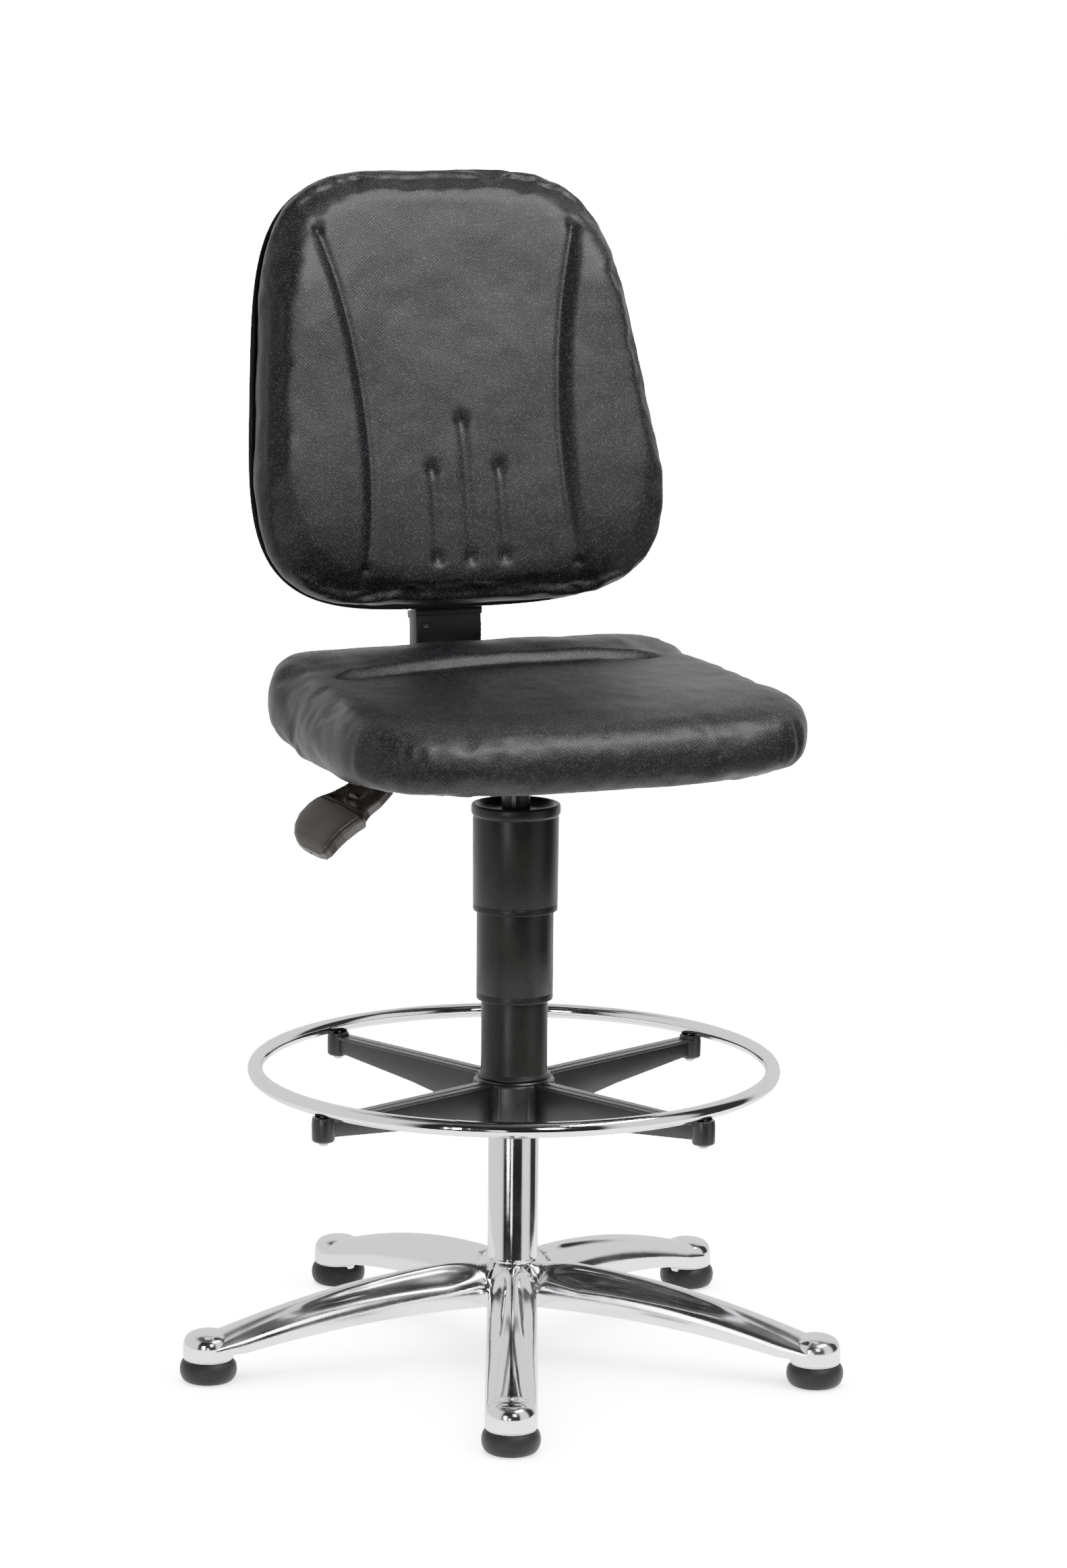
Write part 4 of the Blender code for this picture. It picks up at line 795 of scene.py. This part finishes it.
def stuffed(name, node, start_out):
    """The CAD pad's skin, evenly meshed, moved out by start_out and then blown up by its foam."""
    piece = bpy.data.objects.new(name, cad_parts[node].data.copy())
    bpy.context.scene.collection.objects.link(piece)
    only(piece)
    bpy.ops.object.mode_set(mode="EDIT")
    bpy.ops.mesh.select_all(action="SELECT")
    bpy.ops.mesh.remove_doubles(threshold=1e-5)
    bpy.ops.object.mode_set(mode="OBJECT")
    even = piece.modifiers.new("even skin", "REMESH")
    even.mode, even.voxel_size = "VOXEL", SKIN_VOXEL
    ease = piece.modifiers.new("soft corners", "SMOOTH")
    ease.factor, ease.iterations = 0.5, 2
    apply_all(piece)
    put_points(piece, points_of(piece) + start_out * normals_of(piece))
    start = points_of(piece)
    foam = piece.modifiers.new("foam", "CLOTH")
    foam.settings.use_pressure = True
    foam.settings.uniform_pressure_force = FOAM_PRESSURE
    # The cover is cut a little long, so that it fills its corners.
    foam.settings.shrink_min = -COVER_SLACK
    foam.settings.effector_weights.gravity = 0.0
    foam.point_cache.frame_start, foam.point_cache.frame_end = 1, FOAM_FRAMES
    for count in range(1, FOAM_FRAMES + 1):
        bpy.context.scene.frame_set(count)
    apply_all(piece)
    bpy.context.scene.frame_set(1)
    move = points_of(piece) - start
    length = np.linalg.norm(move, axis=1, keepdims=True)
    put_points(piece, start + move * np.minimum(1.0, FOAM_CAP / np.maximum(length, 1e-9)))
    calm = piece.modifiers.new("calm", "SMOOTH")
    calm.factor, calm.iterations = 0.5, 3
    finer = piece.modifiers.new("finer", "SUBSURF")
    finer.levels = finer.render_levels = 1
    apply_all(piece)
    return piece


def bumps(points, size, seed):
    """Unevenness of soft foam at a given size, one value a point, from -1 to 1."""
    return np.array([noise.noise(Vector(p) / size + Vector((seed, seed, seed))) for p in points])


seat = stuffed("seat", "seat_cushion", SEAT_START_OUT)
points, outward = points_of(seat), normals_of(seat)
x = points[:, 0] - AXIS.x
cos, sin = math.cos(SEAT_TILT), math.sin(SEAT_TILT)
rel_y, rel_z = points[:, 1] - AXIS.y, points[:, 2] - SEAT_BASE
y = rel_y * cos + rel_z * sin
h = rel_z * cos - rel_y * sin
top = smooth_step(0.25, 0.75, outward[:, 2])
flank = 1 - smooth_step(0.2, 0.7, np.abs(outward[:, 2]))
crease = 0.056 + 0.05 * x - 0.95 * x ** 2
off = y - crease
fade = 1 - smooth_step(0.150, 0.185, np.abs(x + 0.006))
sink = 0.0030 * np.exp(-(off / 0.0045) ** 2) * fade
swell = 0.0062 * smooth_step(-0.001, 0.012, off) * (1 - smooth_step(0.030, 0.095, off)) * fade
corner_angle = np.arctan2(y + 0.150, np.abs(x) - 0.150)
at_corner = smooth_step(-0.140, -0.190, y) * smooth_step(0.120, 0.190, np.abs(x))
gather = 0.0007 * np.sin(corner_angle * 19 + 2 * np.sin(corner_angle * 7)) * at_corner * flank
ends = smooth_step(0.185, 0.225, np.abs(x)) * smooth_step(-0.12, -0.02, y) * flank
stripes = 0.00035 * np.sin(y * 420) * ends * (x > 0)
uneven = 0.0011 * bumps(points, 0.055, 3.0) + 0.0004 * bumps(points, 0.018, 7.0)
stapled = 0.0007 * np.sin(np.arctan2(y + 0.03, x) * 46) * smooth_step(0.020, 0.004, h) * flank
lift = (swell - sink) * top + gather + stripes + uneven + stapled
put_points(seat, points + outward * lift[:, None])
finished(seat, "seat_cushion_upholstered", twill, "seat", ["seat_cushion"], 80)


# ---- Back bar and its cover
# A flat steel bar comes up from the mechanism, leans back and carries the backrest. A moulded
# box covers its bend, with a sloped top edge and a small hole for its clip.
RECLINE = math.radians(13.5)
BEND = AXIS + Vector((0.0, 0.182, 0.715))
UP_BAR = Vector((0.0, math.sin(RECLINE), math.cos(RECLINE)))
FORWARD = Vector((0.0, -math.cos(RECLINE), math.sin(RECLINE)))


def on_back(x, u, n):
    """From the backrest's plane: x across, u up along the bar, n forward from it."""
    return BEND + Vector((x, 0, 0)) + UP_BAR * u + FORWARD * n


def drawn_strip(path, half_width, half_thick, bevel):
    """A cube extruded along a path of (y, z) centres and mitred at its bends."""
    piece = drawn_cube(len(path))
    spots = [Vector(spot) for spot in path]
    runs = [(after - before).normalized() for before, after in zip(spots, spots[1:])]
    for vertex in piece.data.vertices:
        at = int(round(vertex.co.x + 0.5))
        before, after = runs[max(at - 1, 0)], runs[min(at, len(runs) - 1)]
        run = (before + after).normalized()
        rise = Vector((-run[1], run[0])) * half_thick / run.dot(after)
        side = 1 if vertex.co.z > 0 else -1
        y, z = path[at][0] + rise[0] * side, path[at][1] + rise[1] * side
        vertex.co = AXIS + Vector((math.copysign(half_width, vertex.co.y), y, z))
    bpy.ops.object.mode_set(mode="EDIT")
    bpy.ops.mesh.select_all(action="SELECT")
    bpy.ops.mesh.normals_make_consistent(inside=False)
    bpy.ops.object.mode_set(mode="OBJECT")
    rounding = piece.modifiers.new("rounded edges", "BEVEL")
    rounding.width, rounding.segments, rounding.limit_method = bevel, 3, "ANGLE"
    rounding.angle_limit = math.radians(40)
    apply_all(piece)
    return piece


# The cover runs from under the seat to the backrest's foot, with a lip round its top.
knee = [(0.182 + 0.0028 * t * t, 0.703 + 0.0237 * t) for t in (0.0, 0.34, 0.67, 1.0)]
cover = drawn_strip([(0.182, 0.6335)] + knee, 0.0355, 0.0115, 0.0030)
lip = drawn_strip(knee[-2:], 0.0362, 0.0122, 0.0012)
clip_hole = drawn_strip([(0.1695, 0.7085), (0.1712, 0.7140)], 0.0030, 0.0012, 0.0008)
for vertex in clip_hole.data.vertices:
    vertex.co.x -= 0.0260
cover = joined("back_bar_cover_moulded", [cover, lip])
finished(cover, "back_bar_cover_moulded", abs_black, "back_arm",
         ["back_bar_cover"])
clip_steel = joined("cover_clip", [clip_hole])
finished(clip_steel, "cover_clip", paint, "back_arm")

# The carrier that slides on the bar: a ribbed moulding with a flange screwed to the shell.
carrier = []
for x_low, x_high, u_low, u_high, n_low, n_high, bevel in (
        (-0.0400, -0.0290, 0.060, 0.196, -0.0118, 0.0190, 0.0020),
        (0.0290, 0.0400, 0.060, 0.196, -0.0118, 0.0190, 0.0020),
        (-0.0400, 0.0400, 0.060, 0.196, 0.0040, 0.0190, 0.0020),
        (-0.0400, -0.0078, 0.060, 0.196, -0.0118, -0.0040, 0.0015),
        (0.0078, 0.0400, 0.060, 0.196, -0.0118, -0.0040, 0.0015),
        (-0.0400, 0.0400, 0.062, 0.084, -0.0130, -0.0066, 0.0015),
        (-0.0400, 0.0400, 0.172, 0.194, -0.0130, -0.0066, 0.0015),
        (-0.0580, 0.0580, 0.054, 0.202, 0.0192, 0.0237, 0.0012)):
    bpy.ops.object.select_all(action="DESELECT")
    bpy.ops.mesh.primitive_cube_add(size=1.0)
    part = bpy.context.object
    for vertex in part.data.vertices:
        x = x_high if vertex.co.x > 0 else x_low
        u = u_high if vertex.co.z > 0 else u_low
        n = n_low if vertex.co.y > 0 else n_high
        vertex.co = on_back(x, u, n)
    rounding = part.modifiers.new("rounded edges", "BEVEL")
    rounding.width, rounding.segments = bevel, 3
    apply_all(part)
    carrier.append(part)
carrier = joined("back_carrier_moulded", carrier)
finished(carrier, "back_carrier_moulded", abs_black, "backrest",
         ["back_carrier"])

# ---- Shells
# The seat and the back each have a moulded polypropylene shell that the cushion is pulled over;
# its fine-grained edge shows behind the cushion.


def pad_outline(angle, half_width, half_length, squareness, taper):
    cos, sin = math.cos(angle), math.sin(angle)
    along = math.copysign(abs(sin) ** (2 / squareness), sin)
    across = math.copysign(abs(cos) ** (2 / squareness), cos)
    return across * half_width * (1 - taper * along), along * half_length


BACK_EDGE = ((0.0, 0.0100), (0.30, 0.0100), (0.60, 0.0100), (0.80, 0.0100), (0.955, 0.0100),
             (0.985, 0.0098), (0.996, 0.0085), (0.998, 0.0068), (0.994, 0.0045), (0.984, 0.0026),
             (0.970, 0.0012), (0.950, 0.0004), (0.90, 0.0), (0.60, 0.0), (0.30, 0.0), (0.0, 0.0))


def back_shell_skin(u, v):
    scale, lift = between(BACK_EDGE, v)
    a, b = pad_outline(u * math.tau, 0.208, 0.220, 3.85, 0.12)
    x, along = a * scale, b * scale
    rib = 0.0
    if v > 0.8:
        rib = 0.0012 * (1 - abs(math.cos(along * 150))) ** 8
        rib *= 1 - float(smooth_step(0.75, 0.9, scale))
    return on_back(x, 0.2285 + along, 0.024 + 0.018 * (x / 0.208) ** 2 + lift - rib)


back_shell = shaped_grid("back_shell", 144, 75, back_shell_skin)
finished(back_shell, "back_shell_moulded", abs_black, "backrest",
         ["back_shell"], 40)


# ---- Backrest cushion
# Moulded foam in the same twill, with a raised wing each side of two long pressed lines and three
# short flutes in the small of the back; each line ends in a dimple.
BACK_START_OUT = 0.0020
back = stuffed("back", "back_cushion", BACK_START_OUT)
points, outward = points_of(back), normals_of(back)
rel = points - np.array(BEND)
x = rel[:, 0]
u = rel @ np.array(UP_BAR)
n = rel @ np.array(FORWARD)
facing = smooth_step(0.35, 0.80, outward @ np.array(FORWARD))
upper_part, lower_part = np.maximum(u - 0.16, 0), np.maximum(0.16 - u, 0)
line_x = 0.1035 + 0.034 * (upper_part / 0.225) ** 2 + 0.010 * (lower_part / 0.12) ** 2
off = np.abs(x) - line_x
in_line = smooth_step(0.036, 0.044, u) * (1 - smooth_step(0.380, 0.388, u))
sink = 0.0026 * np.exp(-(off / 0.0042) ** 2) * in_line
wing = 0.0070 * smooth_step(-0.004, 0.016, off)
wing *= 1 - 0.7 * smooth_step(0.030, 0.085, off)
wing *= smooth_step(0.02, 0.10, u) * (1 - smooth_step(0.32, 0.42, u))
flutes = np.zeros(len(points))
for flute_x, top_u in ((0.0, 0.194), (-0.036, 0.147), (0.036, 0.147)):
    inside = smooth_step(0.046, 0.056, u) * (1 - smooth_step(top_u - 0.008, top_u + 0.002, u))
    flutes += 0.0022 * np.exp(-((x - flute_x) / 0.0055) ** 2) * inside
    for end_u in (0.052, top_u - 0.004):
        near = ((x - flute_x) / 0.0070) ** 2 + ((u - end_u) / 0.0075) ** 2
        flutes += 0.0032 * np.exp(-near)
for side in (-1, 1):
    for end_u, end_x in ((0.040, 0.1135), (0.384, 0.1372)):
        near = ((x - side * end_x) / 0.0070) ** 2 + ((u - end_u) / 0.0080) ** 2
        sink += 0.0034 * np.exp(-near)
uneven = 0.0012 * bumps(points, 0.070, 11.0) + 0.0003 * bumps(points, 0.020, 5.0)
# The small of the back stands proudest: below it the pad falls away, above it it lies back.
fall = 0.0085 * np.clip((0.165 - u) / 0.155, 0, 1) ** 2
fall += 0.0060 * np.clip((u - 0.19) / 0.25, 0, 1) ** 2
lift = (wing - sink - flutes - fall) * facing + uneven
put_points(back, points + outward * lift[:, None])
finished(back, "back_cushion_upholstered", twill, "backrest",
         ["back_cushion"], 80)
